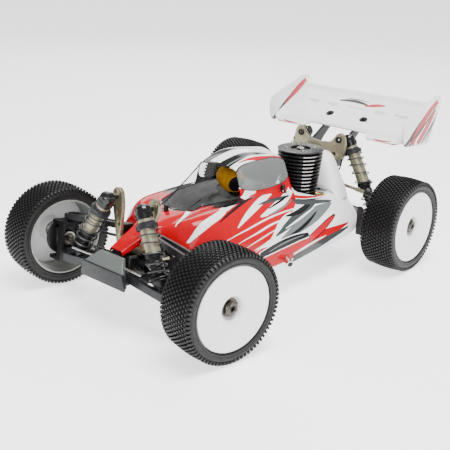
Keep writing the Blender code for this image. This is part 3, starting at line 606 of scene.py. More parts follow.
def build_shock(tag, side, front):
    top, foot, extra = FRONT_SHOCK if front else REAR_SHOCK
    end = FRONT if front else REAR
    place = end @ (FLIP if side < 0 else NONE) @ shock_place(top, foot)
    length = (top - foot).length
    body = "shock_body_" + tag
    rod = "shock_rod_" + tag

    cap = lathe([(0, 3.6), (5.2, 3.6), (7.6, 2.6), (8.3, 1.2), (8.3, -3.0), (8.7, -3.6), (8.7, -9.0),
                 (8.2, -9.6), (7.0, -9.6)])
    ear = lathe([(2.4, 4.6), (5.6, 4.6), (6.1, 4.0), (6.1, -4.0), (5.6, -4.6), (2.4, -4.6)])
    stud = lathe([(0, 8.2), (2.2, 8.2), (3.0, 7.6), (3.0, 5.2), (1.9, 5.2), (1.9, -8.6), (0, -8.6)])
    piece("shock_cap_" + tag, merged(cap, (ear, ALONG_Y), (stud, ALONG_Y), ribbed(8.5, -3.8, -8.8)),
          GLOSS, body, place, 30, ["shock_body_" + tag])
    low = -43.5 - extra
    threads = [(7.6, -9.5), (7.8, -9.9)]
    pitch = 1.1
    z = -10.2
    while z > low + 4:
        threads += [(7.8, z), (7.72, z - pitch * 0.4), (7.8, z - pitch * 0.8)]
        z -= pitch
    threads += [(7.8, low), (8.6, low - 0.4), (8.6, low - 0.8), (6.0, low - 0.8)]
    piece("shock_tube_" + tag, lathe(threads), KHAKI_DARK, body, place, 25)
    collar = lathe([(7.9, -12.9), (8.9, -12.9), (9.2, -13.3), (9.2, -14.8), (10.4, -15.0), (11.0, -15.5),
                    (11.0, -19.4), (10.6, -20.0), (7.9, -20.0)])
    piece("shock_collar_" + tag, merged(collar, ribbed(10.7, -15.6, -19.3, 36)), GREY, body, place, 30)
    seal = lathe([(6.0, low - 0.6), (8.7, low - 0.7), (8.9, low - 1.4), (8.9, low - 5.6), (8.2, low - 6.2),
                  (2.3, low - 6.2)])
    piece("shock_seal_" + tag, merged(seal, ribbed(8.7, low - 1.6, low - 5.4, 24)), BLACK, body, place, 30)

    cup = -(length - CUP_HEIGHT)
    shaft = lathe([(0, low - 2), (1.75, low - 2), (1.75, cup + 1.0), (0, cup + 1.0)], 20)
    piece("shock_shaft_" + tag, shaft, STEEL, rod, place, 30, ["shock_rod_" + tag])
    seat = lathe([(0, cup + 1.8), (4.6, cup + 1.6), (5.2, cup + 0.4), (9.6, cup + 0.3), (11.2, cup - 0.2),
                  (11.5, cup - 0.9), (11.2, cup - 1.5), (8.8, cup - 1.8), (8.8, cup - 2.6),
                  (9.9, cup - 2.8), (10.1, cup - 3.4), (9.6, cup - 3.9), (8.2, cup - 4.4),
                  (6.4, cup - 7.2), (4.4, cup - 10.4), (3.6, cup - 11.8), (3.3, cup - 12.2),
                  (3.3, -length), (0, -length)])
    boot = [(2.3, low - 6.0), (7.4, low - 6.0)]
    folds = 5
    step = (low - 6.0 - cup - 1.0) / folds
    for i in range(folds):
        z = low - 6.0 - i * step
        boot += [(7.6 - 0.1 * i, z - 0.25 * step), (6.5 - 0.1 * i, z - 0.75 * step)]
    boot += [(7.2, cup + 1.0), (1.8, cup + 0.9)]
    sleeve = piece("shock_bellows_" + tag, lathe(boot), BLACK, None, place, 40)
    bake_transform(sleeve, body, rod, CAR @ place @ Vector((0, 0, low - 6.0)),
             CAR @ place @ Vector((0, 0, cup + 1.0)))
    eye = lathe([(1.4, 3.4), (3.6, 3.4), (4.3, 2.7), (4.3, -2.7), (3.6, -3.4), (1.4, -3.4)])
    ball = lathe([(0, 3.9), (1.9, 3.9), (2.4, 3.2), (2.4, -3.2), (1.9, -3.9), (0, -3.9)], 16)
    piece("shock_boot_" + tag, merged(seat, (eye, at(z=-length) @ ALONG_Y), (ball, at(z=-length) @ ALONG_Y)),
          BLACK, rod, place, 30)

    wire = 0.8
    high = -20.2 - wire
    bottom = cup + 0.4 + wire
    turns = 5.6 if front else 7.2
    points = []
    count = int(turns * 22)
    for i in range(count + 1):
        share = i / count
        eased = share + 0.055 * math.sin(2 * math.pi * share)
        angle = 2 * math.pi * turns * share
        height = high + (bottom - high) * (2 * share - eased)
        points.append((10.3 * math.cos(angle), 10.3 * math.sin(angle), height))
    coil = piece("spring_look_" + tag, tube(points, wire, 2, smooth=False), SPRING, None, place, 40,
                 ["spring_" + tag])
    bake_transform(coil, body, rod, CAR @ place @ Vector((0, 0, high)), CAR @ place @ Vector((0, 0, bottom)))


# ---------------------------------------------------------------- suspension and steering

def build_suspension(tag, side, front):
    end = (FRONT if front else REAR) @ (FLIP if side < 0 else NONE)
    tilt = Matrix.Rotation(ARM_TILT, 4, "Y")
    arm = end @ Matrix.Translation(INNER_PIN) @ tilt
    length = ARM.length
    low = "lower_arm_" + tag
    refined(low, GREY, 0.3)
    refined("drive_shaft_" + tag, STEEL, 0.3)
    pin_end = -33.0 if front else -29.0
    pin = merged((screw_head(3.0, 2.2), at(0, pin_end - (0.6 if front else 0.4)) @ ALONG_Y.inverted()))
    piece("hinge_screw_" + tag, pin, STEEL, low, arm)
    collar = lathe([(1.6, 1.2), (3.4, 1.2), (3.8, 0.8), (3.8, -0.8), (3.4, -1.2), (1.6, -1.2)])
    piece("hinge_collar_" + tag, merged((collar, at(0, pin_end) @ ALONG_Y)), BRASS, low, arm)
    outer = [(screw_head(2.6, 1.8), at(length, -14.6 if front else -13.4, 0) @ ALONG_Y.inverted()),
             (screw_head(2.2, 1.6), at(length - 24, -19.3 if front else -12.4, 0) @ ALONG_Y.inverted())]
    piece("arm_screws_" + tag, merged(*outer), BLACK, low, arm)

    carrier = "caster_block_" if front else "hub_carrier_"
    refined(carrier + tag, BLACK, 0.7)
    if front:
        refined("upper_arm_" + tag, GREY, 0.7)
        refined("steering_knuckle_" + tag, BLACK, 0.6)
        shield = lathe([(10.6, 5.8), (19.5, 5.8), (21.0, 6.6), (21.0, 8.2), (19.5, 9.0), (10.6, 9.0)],
                       40, closed=True)
        hub = hub_place(side, True) @ at(z=-HUB_OUT)
        piece("hub_shield_" + tag, shield, BLACK, "steering_knuckle_" + tag, hub, 30)
        kingpins = [(screw_head(3.0, 2.0), at(KINGPIN_X, 0, 21.4)),
                    (screw_head(3.0, 2.0), at(KINGPIN_X, 0, -23.0) @ Matrix.Rotation(math.pi, 4, "X"))]
        piece("kingpin_screws_" + tag, merged(*kingpins), STEEL, carrier + tag, end)
    else:
        link = end @ Matrix.Translation(UPPER_INNER + Vector((0, -6, 0))) @ tilt
        shaft = lathe([(0, length - 6), (1.9, length - 6), (1.9, length - 20), (2.6, length - 21),
                       (2.6, length - 34), (1.9, length - 35), (1.9, 20), (0, 20)], 20)
        piece("turnbuckle_" + tag, merged((shaft, ALONG_X)), KHAKI, "upper_link_" + tag, link, 30,
              ["upper_link_" + tag])
        ends = []
        for x, sign in ((0.0, 1), (length, -1)):
            eye = lathe([(1.6, 2.7), (3.8, 2.7), (4.4, 2.1), (4.4, -2.1), (3.8, -2.7), (1.6, -2.7)])
            neck = lathe([(0, 21), (2.7, 21), (3.2, 20), (3.2, 4), (0, 3.6)], 16)
            ends += [(eye, at(x) @ ALONG_Y), (neck, at(x) @ (ALONG_X if sign > 0 else ALONG_X.inverted()))]
        piece("link_ends_" + tag, merged(*ends), BLACK, "upper_link_" + tag, link, 30)


def build_steering():
    for tag in ("fl", "fr"):
        refined("tie_rod_" + tag, DARK_STEEL, 0.3)
    refined("steering_plate", KHAKI, 0.5)


# ---------------------------------------------------------------- ends and chassis

def plate_piece(name, outline, holes, thickness, place, look, body, nodes, round_off=2.0):
    shape = slab(rounded(outline, round_off), thickness, holes, 0.4)
    return piece(name, shape, look, body, place, 30, nodes)


def build_front():
    half = [(15, 13.8), (21, 20), (30, 50), (35, 64), (34.5, 71), (31, 75.5), (25, 76), (20.5, 72),
            (17, 60), (16, 27), (12, 21.5), (0, 21)]
    holes = []
    for side in (1, -1):
        holes += [circle(2.2, side * 30.0, 71.0), circle(2.2, side * 22.5, 50), circle(1.8, side * 20, 38)]
    plate_piece("front_tower_look", both_sides(half), holes, 4.4, FRONT @ at(y=-3.3) @ UPRIGHT, KHAKI,
                "chassis", ["front_shock_tower"])
    top = FRONT_SHOCK[0]
    studs = []
    for side in (1, -1):
        nut = lathe([(0, 1.6), (3.4, 1.6), (3.9, 1.0), (3.9, -1.6), (0, -1.6)], 6)
        bar = lathe([(0, 6), (2.3, 6), (2.3, -6), (0, -6)], 18)
        studs += [(nut, at(side * top.x, 0.8, top.z) @ ALONG_Y),
                  (bar, at(side * top.x, -4.6, top.z) @ ALONG_Y)]
    piece("front_studs", merged(*studs), BLACK, "chassis", FRONT)
    refined("front_gearbox", BLACK, 0.7)

    # Front bumper: painted light on its upward slope and painted shade on its front and back faces.
    face = [(33, 47.2), (33.5, 52), (29.5, 63.6), (29, 64)]
    dark = slab(rounded(both_sides(face), 1.0), 2.4, bevel=0.4)
    piece("bumper_face", dark, BUMPER_SHADED, "chassis", at(0, -200.0, 0) @ UPRIGHT, 30, ["front_bumper"])
    slope = bmesh.new()
    rows = []
    for t in (0.0, 1.0):
        width = 29.3 + (18 - 29.3) * t
        y = -199.6 + 10.6 * t
        z = 64.0 + 10.7 * t
        rows.append([slope.verts.new((-width, y, z)), slope.verts.new((width, y, z))])
    slope.faces.new((rows[0][0], rows[0][1], rows[1][1], rows[1][0]))
    top_back = [slope.verts.new((x, -184.8, 74.7)) for x in (-18, 18)]
    slope.faces.new((rows[1][0], rows[1][1], top_back[1], top_back[0]))
    low_back = [slope.verts.new((x, -184.8, 66)) for x in (-18, 18)]
    slope.faces.new((top_back[0], top_back[1], low_back[1], low_back[0]))
    under = [slope.verts.new((x, -194.2, 62.6)) for x in (-28.4, 28.4)]
    slope.faces.new((low_back[0], low_back[1], under[1], under[0]))
    slope.faces.new((under[0], under[1], rows[0][1], rows[0][0]))
    for k in (0, 1):
        slope.faces.new((rows[0][k], rows[1][k], top_back[k], low_back[k], under[k]))
    bmesh.ops.recalc_face_normals(slope, faces=slope.faces)
    bmesh.ops.bevel(slope, geom=slope.edges[:], offset=0.7, segments=2, affect="EDGES", profile=0.5)
    piece("bumper_slope", slope, BUMPER_LIT, "chassis")
    back = block((-30, -198.6, 48), (30, -194.2, 63), 0.6)
    piece("bumper_back", back, BUMPER_SHADED, "chassis")
    for side, word in ((1, "left"), (-1, "right")):
        bar = tube([(side * 8, -27, 7), (side * 24, -35, 6), (side * 40, -36.5, 8), (side * 53, -36, 7)], 1.0)
        piece("roll_bar_" + word, bar, STEEL, "chassis", FRONT)


def build_rear():
    half = [(14, 21.8), (15, 46), (22, 55), (37, 62), (40, 72), (39.5, 84), (37, 91), (32, 94),
            (26.5, 92.5), (22, 86), (16, 80), (0, 78)]
    holes = []
    for side in (1, -1):
        holes += [circle(3.1, side * 29.5, 85), circle(2.2, side * 13, 64), circle(2.2, side * 24, 66)]
    plate_piece("rear_tower_look", both_sides(half), holes, 4.4, REAR @ at(y=5.2) @ UPRIGHT, KHAKI,
                "chassis", ["rear_shock_tower"], 3.0)
    rings = []
    for side in (1, -1):
        ring = lathe([(1.9, 1.0), (4.0, 1.0), (4.3, 0.6), (4.3, -0.6), (1.9, -0.6)], 24)
        rings.append((ring, at(side * 29.5, 2.4, 85) @ ALONG_Y.inverted()))
    piece("tower_rings", merged(*rings), BLACK, "chassis", REAR)
    top = REAR_SHOCK[0]
    studs = []
    for side in (1, -1):
        bar = lathe([(0, 6), (2.3, 6), (2.3, -4), (0, -4)], 18)
        studs.append((bar, at(side * top.x, 12.0, top.z) @ ALONG_Y))
    piece("rear_studs", merged(*studs), BLACK, "chassis", REAR)
    refined("rear_gearbox", BLACK, 0.7)
    refined("wing_mount", BLACK, 0.6)
    strap = tube([(34, 168.5, 118), (36, 166, 108), (33, 163, 101), (31, 160, 95)], 1.0)
    piece("brake_link", strap, BLACK, "chassis")


WING_SLOPE = math.radians(26.6)
WING_FRONT = Vector((0.0, 202.0, 149.0))
WING_HALF = 104.0
WING_CHORD = 76.0


def wing_edge(x):
    """Front edge of the blade at a given distance from the middle."""
    x = abs(x)
    if x < 44:
        return 0.0
    if x < 51:
        return -9.5 * (x - 44) / 7
    if x < 92:
        return -9.5
    return -9.5 + 8.5 * (x - 92) / 12


def wing_height(x, y):
    """Height of the blade's upper face above its flat slope: steps, pockets and the rear lip."""
    height = 0.0
    for middle, width, depth in ((0, 17, 2.0), (-37, 12, 3.4), (37, 12, 3.4), (-70, 13, 3.4), (70, 13, 3.4)):
        inside = min(width - abs(x - middle) - 0.12 * (y - 25), y - 20, 46 - y)
        height -= depth * min(1.0, max(0.0, inside / 1.6))
    height += 3.4 * min(1.0, max(0.0, (y - 66.0) / 8.0)) ** 2
    height -= 1.6 * min(1.0, max(0.0, (6.0 - y) / 6.0)) ** 2
    return height


def build_wing():
    slope = Matrix.Translation(WING_FRONT) @ Matrix.Rotation(WING_SLOPE, 4, "X")
    sheet = bmesh.new()
    columns = 150
    rows = 60
    grid = []
    for i in range(columns + 1):
        x = -WING_HALF + 2 * WING_HALF * i / columns
        start = wing_edge(x)
        column = []
        for j in range(rows + 1):
            y = start + (WING_CHORD - start) * j / rows
            column.append(sheet.verts.new((x, y, wing_height(x, y))))
        grid.append(column)
    for a, b in zip(grid, grid[1:]):
        for j in range(rows):
            sheet.faces.new((a[j], b[j], b[j + 1], a[j + 1]))
    blade = piece("wing_blade", sheet, WING, "chassis", slope, 40, ["rear_wing"])
    wall = blade.modifiers.new("wall", "SOLIDIFY")
    wall.thickness = 1.8 * MM
    wall.offset = -1.0
    fence = [(190, 167), (193, 147), (199, 141), (252, 136), (259, 139), (280, 190), (277, 197),
             (262, 197.2), (196, 176)]
    for side, word in ((1, "left"), (-1, "right")):
        shape = slab(rounded(fence, 4.0, 4), 2.2, bevel=0.6)
        piece("end_plate_" + word, shape, FENCE, "chassis", at(side * (WING_HALF + 0.9)) @ SIDEWAYS, 30)
    screws = []
    for side in (1, -1):
        washer = lathe([(0, 1.0), (2.6, 1.0), (5.0, 0.6), (5.6, 0), (0, 0)], 24)
        screws += [(washer, at(side * 26.5, 23.5, -0.1)), (screw_head(2.6, 1.8), at(side * 26.5, 23.5, 0.8))]
    piece("wing_screws", merged(*screws), BLACK, "chassis", slope)


# ---------------------------------------------------------------- painted body

# Half sections of the body from its middle to its lower edge, one list for each station along Y.
# Points: middle, roof edge, cockpit foot, ridge, shoulder, side, skirt, lower edge.
SHELL = [
    (-182, [(0, 79), (5, 79), (8, 78.8), (9, 78), (9.5, 76.5), (9.7, 75.2), (9.7, 74.5), (9.7, 74)]),
    (-152, [(0, 92), (7, 91.8), (10.5, 91.2), (13, 90), (13.8, 87.5), (14, 85), (14, 84), (14, 83)]),
    (-139, [(0, 97), (10, 96.7), (13, 96), (15, 94.5), (16, 91), (16.5, 88), (16.5, 86), (16.5, 85)]),
    (-126, [(0, 100.5), (14, 100), (20, 98.5), (27, 98), (35, 94.5), (45, 87), (50, 81), (52, 78)]),
    (-116, [(0, 103), (16, 102.5), (24, 101), (37, 103.5), (46, 99.5), (54, 88), (57, 79), (58, 75)]),
    (-106, [(0, 105), (17, 104.5), (26, 103), (41, 106.5), (51, 102), (58, 90), (61, 80), (62, 73)]),
    (-96, [(0, 107), (18, 106.8), (27, 105.5), (43, 108), (54, 103), (62, 90), (65, 78), (66, 70)]),
    (-70, [(0, 121), (21, 119.5), (30, 108), (45, 109), (57, 102), (68, 86), (72, 70), (73, 58)]),
    (-45, [(0, 134.5), (24, 132), (33, 109), (46, 109), (59, 101), (76, 80), (80, 62), (79, 45)]),
    (-25, [(0, 145), (27, 141.5), (35, 109), (47, 108), (61, 99), (81, 76), (85, 56), (83, 39)]),
    (5, [(0, 152), (28, 147), (38, 107), (49, 105), (64, 97), (86, 72), (90, 53), (88, 36)]),
    (32, [(0, 150), (29, 144), (39, 105), (51, 102), (66, 94), (88, 70), (92, 52), (90, 38)]),
    (52, [(0, 145), (30, 138), (40, 103), (52, 99), (66, 92), (88, 70), (92, 53), (91, 40)]),
    (66, [(0, 96), (28, 96), (42, 97), (53, 97), (66, 91), (87, 70), (91, 53), (91, 41)]),
    (90, [(0, 88), (26, 88), (42, 90), (53, 93), (65, 89), (85, 70), (90, 54), (91, 43)]),
    (120, [(0, 83), (24, 83), (40, 86), (52, 88), (63, 84), (80, 68), (87, 55), (89, 46)]),
    (145, [(0, 80), (22, 80.5), (36, 83), (48, 84), (59, 80), (74, 66), (80, 56), (82, 49)]),
]
STATION_STEP = 4.0
WALL = 1.0
ROOF_EDGE = 7


def smooth_between(knots, values, y):
    """A curve through the values that never overshoots them."""
    last = len(knots) - 1
    k = 0
    while k < last - 1 and y > knots[k + 1]:
        k += 1
    slopes = [(b - a) / (q - p) for a, b, p, q in zip(values, values[1:], knots, knots[1:])]

    def tangent(i):
        if i == 0:
            return slopes[0]
        if i == last:
            return slopes[-1]
        before, after = slopes[i - 1], slopes[i]
        if before * after <= 0:
            return 0.0
        return 2 * before * after / (before + after)

    span = knots[k + 1] - knots[k]
    t = (y - knots[k]) / span
    a = values[k]
    b = values[k + 1]
    u = tangent(k) * span
    v = tangent(k + 1) * span
    return (a * (1 + 2 * t) * (1 - t) ** 2 + u * t * (1 - t) ** 2 + b * t * t * (3 - 2 * t)
            + v * t * t * (t - 1))


def section(points, corner=(8.0, 3.0, 6.0, 9.0, 8.0, 8.0)):
    """A half section with rounded corners and a fixed count of points."""
    result = [Vector(points[0])]
    at_last = result[0]
    for i in range(1, len(points) - 1):
        here = Vector(points[i])
        before = Vector(points[i - 1])
        after = Vector(points[i + 1])
        into = min(corner[i - 1], (here - before).length * 0.48)
        out = min(corner[i - 1], (after - here).length * 0.48)
        a = here + (before - here).normalized() * into
        b = here + (after - here).normalized() * out
        for k in range(1, 4):
            result.append(at_last.lerp(a, k / 4))
        for k in range(7):
            t = k / 6
            result.append(a.lerp(here, t).lerp(here.lerp(b, t), t))
        at_last = b
    for k in range(1, 4):
        result.append(at_last.lerp(Vector(points[-1]), k / 3))
    return result


def half_section(y):
    """The shell's rounded half section at one station."""
    knots = [place for place, _ in SHELL]
    points = []
    for i in range(len(SHELL[0][1])):
        x = smooth_between(knots, [half[i][0] for _, half in SHELL], y)
        z = smooth_between(knots, [half[i][1] for _, half in SHELL], y)
        points.append((x, z))
    return section(points)


def on_shell(x, y):
    """The point of the shell's top above a place in plan."""
    half = half_section(y)
    for a, b in zip(half, half[1:]):
        if a.x <= abs(x) <= b.x:
            share = (abs(x) - a.x) / max(b.x - a.x, 0.001)
            return (x, y, a.y + (b.y - a.y) * share)
    return (x, y, half[0].y)


def shell_sheet():
    knots = [y for y, _ in SHELL]
    stations = []
    for y, after in zip(knots, knots[1:]):
        count = max(1, round((after - y) / STATION_STEP))
        stations += [y + (after - y) * k / count for k in range(count)]
    stations.append(knots[-1])
    sheet = bmesh.new()
    rows = []
    for y in stations:
        half = half_section(y)
        row = [sheet.verts.new((-p.x, y, p.y)) for p in reversed(half[1:])]
        row += [sheet.verts.new((p.x, y, p.y)) for p in half]
        rows.append(row)
    for first, second in zip(rows, rows[1:]):
        for a, b, c, d in zip(first, first[1:], second[1:], second):
            sheet.faces.new((a, b, c, d))
    bmesh.ops.recalc_face_normals(sheet, faces=sheet.faces)
    top = max(sheet.faces, key=lambda f: f.calc_center_median().z)
    if top.normal.z < 0:
        bmesh.ops.reverse_faces(sheet, faces=sheet.faces)
    return sheet


def tool(shape, place=NONE):
    """A cutting tool in the car's frame, taken away again by cut()."""
    bmesh.ops.transform(shape, matrix=CAR @ place, verts=shape.verts)
    bmesh.ops.recalc_face_normals(shape, faces=shape.faces)
    mesh = bpy.data.meshes.new("cutter")
    shape.to_mesh(mesh)
    shape.free()
    return linked("cutter", mesh)


def cut(obj, cutters):
    """Takes the tools away from the object's mesh for good."""
    for one in cutters:
        step = obj.modifiers.new("cut", "BOOLEAN")
        step.operation = "DIFFERENCE"
        step.object = one
        step.solver = "EXACT"
    bpy.context.view_layer.update()
    depsgraph = bpy.context.evaluated_depsgraph_get()
    mesh = bpy.data.meshes.new_from_object(obj.evaluated_get(depsgraph))
    obj.modifiers.clear()
    obj.data = mesh
    for one in cutters:
        bpy.data.objects.remove(one, do_unlink=True)


def stroke(net, p, q, start, middle, end, widths):
    """Signed inside of a curved, tapering slash through three points of one plane."""
    dx = end[0] - start[0]
    dy = end[1] - start[1]
    long = math.hypot(dx, dy)
    bow = ((middle[1] - start[1]) * dx - (middle[0] - start[0]) * dy) / long
    u = net.less(p, start[0])
    v = net.less(q, start[1])
    t = net.add(net.times(u, dx / long ** 2), net.times(v, dy / long ** 2))
    s = net.less(net.times(v, dx / long), net.times(u, dy / long))
    hump = net.times(net.times(t, net.less(1.0, t)), 4.0)
    s = net.less(s, net.times(hump, bow))
    width = net.add(widths[0], net.times(t, widths[2] - widths[0]))
    width = net.add(width, net.times(hump, widths[1] - (widths[0] + widths[2]) / 2))
    inside = net.less(width, net.calc("ABSOLUTE", s))
    return net.both(inside, net.times(net.both(t, net.less(1.0, t)), long))


def millimetres(net):
    """The point's place on the car in millimetres from mid-wheelbase."""
    axes = net.node("ShaderNodeSeparateXYZ", Vector=net.place)
    x = net.times(axes.outputs["X"], 1000.0)
    y = net.less(net.times(axes.outputs["Y"], 1000.0), ORIGIN_Y)
    z = net.times(axes.outputs["Z"], 1000.0)
    return x, y, z


def windows(net, x, y, z):
    """Signed inside of the clear windscreen and side windows."""
    out = net.calc("ABSOLUTE", x)
    nose_line = net.add(-106.0, net.times(net.times(x, x), 0.02))
    foot = net.calc("MAXIMUM", net.less(z, 109.6), net.less(24.5, out))
    screen = net.both(net.less(y, nose_line), net.less(-32.0, y), foot)
    u = net.calc("ABSOLUTE", net.times(net.less(y, 13.0), 1 / 44.0))
    middle = net.add(127.5, net.times(net.less(y, 13.0), -0.03))
    v = net.calc("ABSOLUTE", net.times(net.less(z, middle), 1 / 16.0))
    shape = net.add(net.calc("POWER", u, 2.6), net.calc("POWER", v, 2.6))
    pane = net.both(net.times(net.less(1.0, shape), 16.0), net.less(out, 25.0), net.less(z, 110.5))
    return screen, pane


RED = (0.43, 0.0, 0.007)
PINK = (0.48, 0.008, 0.022)
WHITE = (0.86, 0.86, 0.86)
INK = (0.010, 0.010, 0.011)
SLATE = (0.045, 0.05, 0.052)
ASH = (0.13, 0.145, 0.145)

# Slashes on the sides: points and half widths in millimetres along the car and up.
SIDE_SLASHES = [
    ((-60, 49), (30, 56), (114, 58), (15, 9, 0.6), RED),
    ((-30, 72), (-8, 82), (18, 89), (0.6, 3.4, 1.6), WHITE),
    ((-15, 69), (32, 78), (98, 83), (1.6, 6.0, 0.6), ASH),
    ((-22, 74), (14, 83), (74, 90), (0.8, 3.6, 0.6), SLATE),
    ((-17, 68), (22, 74), (60, 82), (0.5, 1.6, 0.4), INK),
    ((6, 88), (34, 88), (66, 92), (0.6, 2.2, 0.4), INK),
    ((-4, 78), (26, 82), (60, 86), (0.3, 0.9, 0.3), WHITE),
    ((-92, 80), (-22, 91), (36, 91), (0.2, 0.7, 0.3), WHITE),
    ((-72, 75), (-38, 83), (2, 86), (0.2, 0.8, 0.4), WHITE),
    ((-62, 69), (-40, 76), (-18, 80), (0.2, 0.6, 0.2), WHITE),
    ((-52, 62), (-34, 69), (-20, 73), (0.2, 0.6, 0.2), WHITE),
    ((2, 43), (58, 50), (112, 54), (4.6, 4.2, 0.8), SLATE),
    ((2, 48), (26, 53), (62, 56), (1.0, 1.3, 0.3), WHITE),
    ((-47, 56), (-8, 64.5), (30, 65), (4.4, 5.4, 3.2), WHITE),
    ((-46, 56.5), (-8, 64.5), (29, 65), (3.4, 4.4, 2.2), INK),
    ((-34, 59), (-8, 65), (20, 66), (0.3, 0.8, 0.3), ASH),
    ((29, 59), (56, 66), (90, 73), (4.4, 4.2, 1.0), INK),
    ((30, 59.5), (56, 66), (87, 72.4), (3.4, 3.2, 0.5), PINK),
]
# Slashes seen from above: points and half widths out from the middle and along the car.
TOP_SLASHES = [
    ((46, -129), (52, -101), (48, -73), (0.4, 3.2, 3.4), WHITE),
    ((48, -76), (41, -43), (34, -6), (3.4, 3.4, 2.6), WHITE),
    ((57, -88), (49, -50), (38, -6), (0.3, 1.5, 0.9), INK),
    ((65, -68), (55, -28), (40, 14), (0.3, 3.4, 3.4), WHITE),
    ((65, -30), (59, 10), (42, 52), (0.6, 4.2, 3.0), WHITE),
    ((38, -20), (39, 8), (38, 38), (0.8, 2.6, 1.0), RED),
    ((54, -22), (53, 6), (52, 36), (0.4, 2.4, 1.0), SLATE),
    ((61, -12), (57, 12), (50, 38), (0.4, 1.2, 0.6), INK),
    ((66, -18), (64, 10), (58, 34), (0.3, 1.0, 0.4), ASH),
    ((22, -99), (26, -110), (29, -126), (3.2, 2.4, 0.4), WHITE),
    ((25.5, -100), (29, -112), (31, -125), (0.6, 0.9, 0.2), INK),
    ((53, 42), (59, 72), (54, 110), (3.2, 1.7, 0.4), RED),
    ((61, 34), (66, 70), (68, 114), (3.6, 2.6, 0.5), SLATE),
    ((57, 38), (62, 62), (62, 92), (0.5, 0.8, 0.3), INK),
]
# Stripes on the roof, across and along the car.
ROOF_STRIPES = [
    ((-21, -34), (-15, -6), (-5, 26), (8, 7, 3), INK),
    ((10, -34), (14, -4), (20, 30), (7.5, 5, 1), INK),
    ((13, -34), (17, -6), (23, 22), (1, 1.2, 0.4), ASH),
    ((20, -20), (27, 12), (31, 52), (0.4, 3.0, 5.5), PINK),
    ((-31, -12), (-29, 16), (-26, 52), (0.6, 2.4, 4.5), PINK),
]


def livery():
    """Paint under the clear body: red nose, white tail, slashes, and unpainted windows."""
    net = Net("body_paint_look")
    x, y, z = millimetres(net)
    out = net.calc("ABSOLUTE", x)

    # The tail's edge leans back from the skirt to the cockpit's foot.
    tail = net.less(net.add(y, 29.0), net.times(net.less(z, 73.0), 2.9))
    colour = net.mix(net.edge(tail), RED, WHITE)
    low = net.less(101.5, z)
    high = net.less(z, 84.0)
    roof = net.both(net.less(y, -33.0), net.less(z, 118.0))
    colour = net.mix(net.edge(roof), colour, WHITE)
    for slashes, where, p, q in ((SIDE_SLASHES, low, y, z), (TOP_SLASHES, high, out, y),
                                 (ROOF_STRIPES, roof, x, y)):
        for start, middle, end, widths, tone in slashes:
            inside = net.both(where, stroke(net, p, q, start, middle, end, widths))
            colour = net.mix(net.edge(inside), colour, tone)

    screen, pane = windows(net, x, y, z)
    pillar = net.less(0.8, net.calc("ABSOLUTE", net.less(net.less(out, 30.2), net.times(y, 0.133))))
    screen = net.both(screen, net.less(0.0, pillar))
    clear = net.calc("MAXIMUM", screen, pane)
    colour = net.mix(net.edge(net.add(clear, 1.5)), colour, INK)
    colour = net.mix(net.edge(clear), colour, (0.10, 0.11, 0.11))
    colour = net.mix(net.edge(pane), colour, (0.42, 0.45, 0.44))
    fade = net.calc("MULTIPLY_ADD", net.noise(90.0), 0.24, 0.86)
    shade = net.node("ShaderNodeVectorMath", {"operation": "SCALE"}, Scale=fade)
    net.tree.links.new(colour, shade.inputs[0])
    net.feed(net.shader.inputs["Base Color"], shade.outputs[0])
    alpha = net.less(1.0, net.times(net.edge(clear), 0.9))
    alpha = net.add(alpha, net.times(net.edge(pane), 0.22))
    net.feed(net.shader.inputs["Alpha"], alpha)
    net.shader.inputs["Specular IOR Level"].default_value = 0.22
    net.rough(0.08, 0.16, 40.0)
    net.bump(net.noise(28.0), 0.04, 0.001)
    return net.material


def lining():
    """The paint seen from inside the body, made dull and near-black as painted shade for the hollow under the
    shell; clear at the windows.
    """
    net = Net("body_lining_shade_look")
    x, y, z = millimetres(net)
    screen, pane = windows(net, x, y, z)
    clear = net.edge(net.calc("MAXIMUM", screen, pane))
    # Painted shade: near-black in place of the paint's own colours, so the hollow under the shell reads dark.
    dull = net.mix(net.noise(40.0), (0.014, 0.004, 0.004), (0.008, 0.006, 0.006))
    net.feed(net.shader.inputs["Base Color"], dull)
    net.feed(net.shader.inputs["Alpha"], net.less(1.0, net.times(clear, 0.95)))
    net.rough(0.35, 0.5, 60.0)
    net.bump(net.noise(60.0), 0.05)
    return net.material


def wing_paint(name, slashes):
    """White moulded nylon with slashes given as (plane, start, middle, end, half widths, tone)."""
    net = Net(name)
    x, y, z = millimetres(net)
    out = net.calc("ABSOLUTE", x)
    planes = {"front": (out, z), "top": (x, y), "side": (y, z)}
    shade = net.mix(net.noise(60.0), tuple(c * 0.96 for c in WHITE), WHITE)
    for plane, start, middle, end, widths, tone in slashes:
        p, q = planes[plane]
        shade = net.mix(net.edge(stroke(net, p, q, start, middle, end, widths)), shade, tone)
    net.feed(net.shader.inputs["Base Color"], shade)
    net.rough(0.25, 0.4, 120.0)
    net.bump(net.noise(500.0), 0.05)
    return net.material


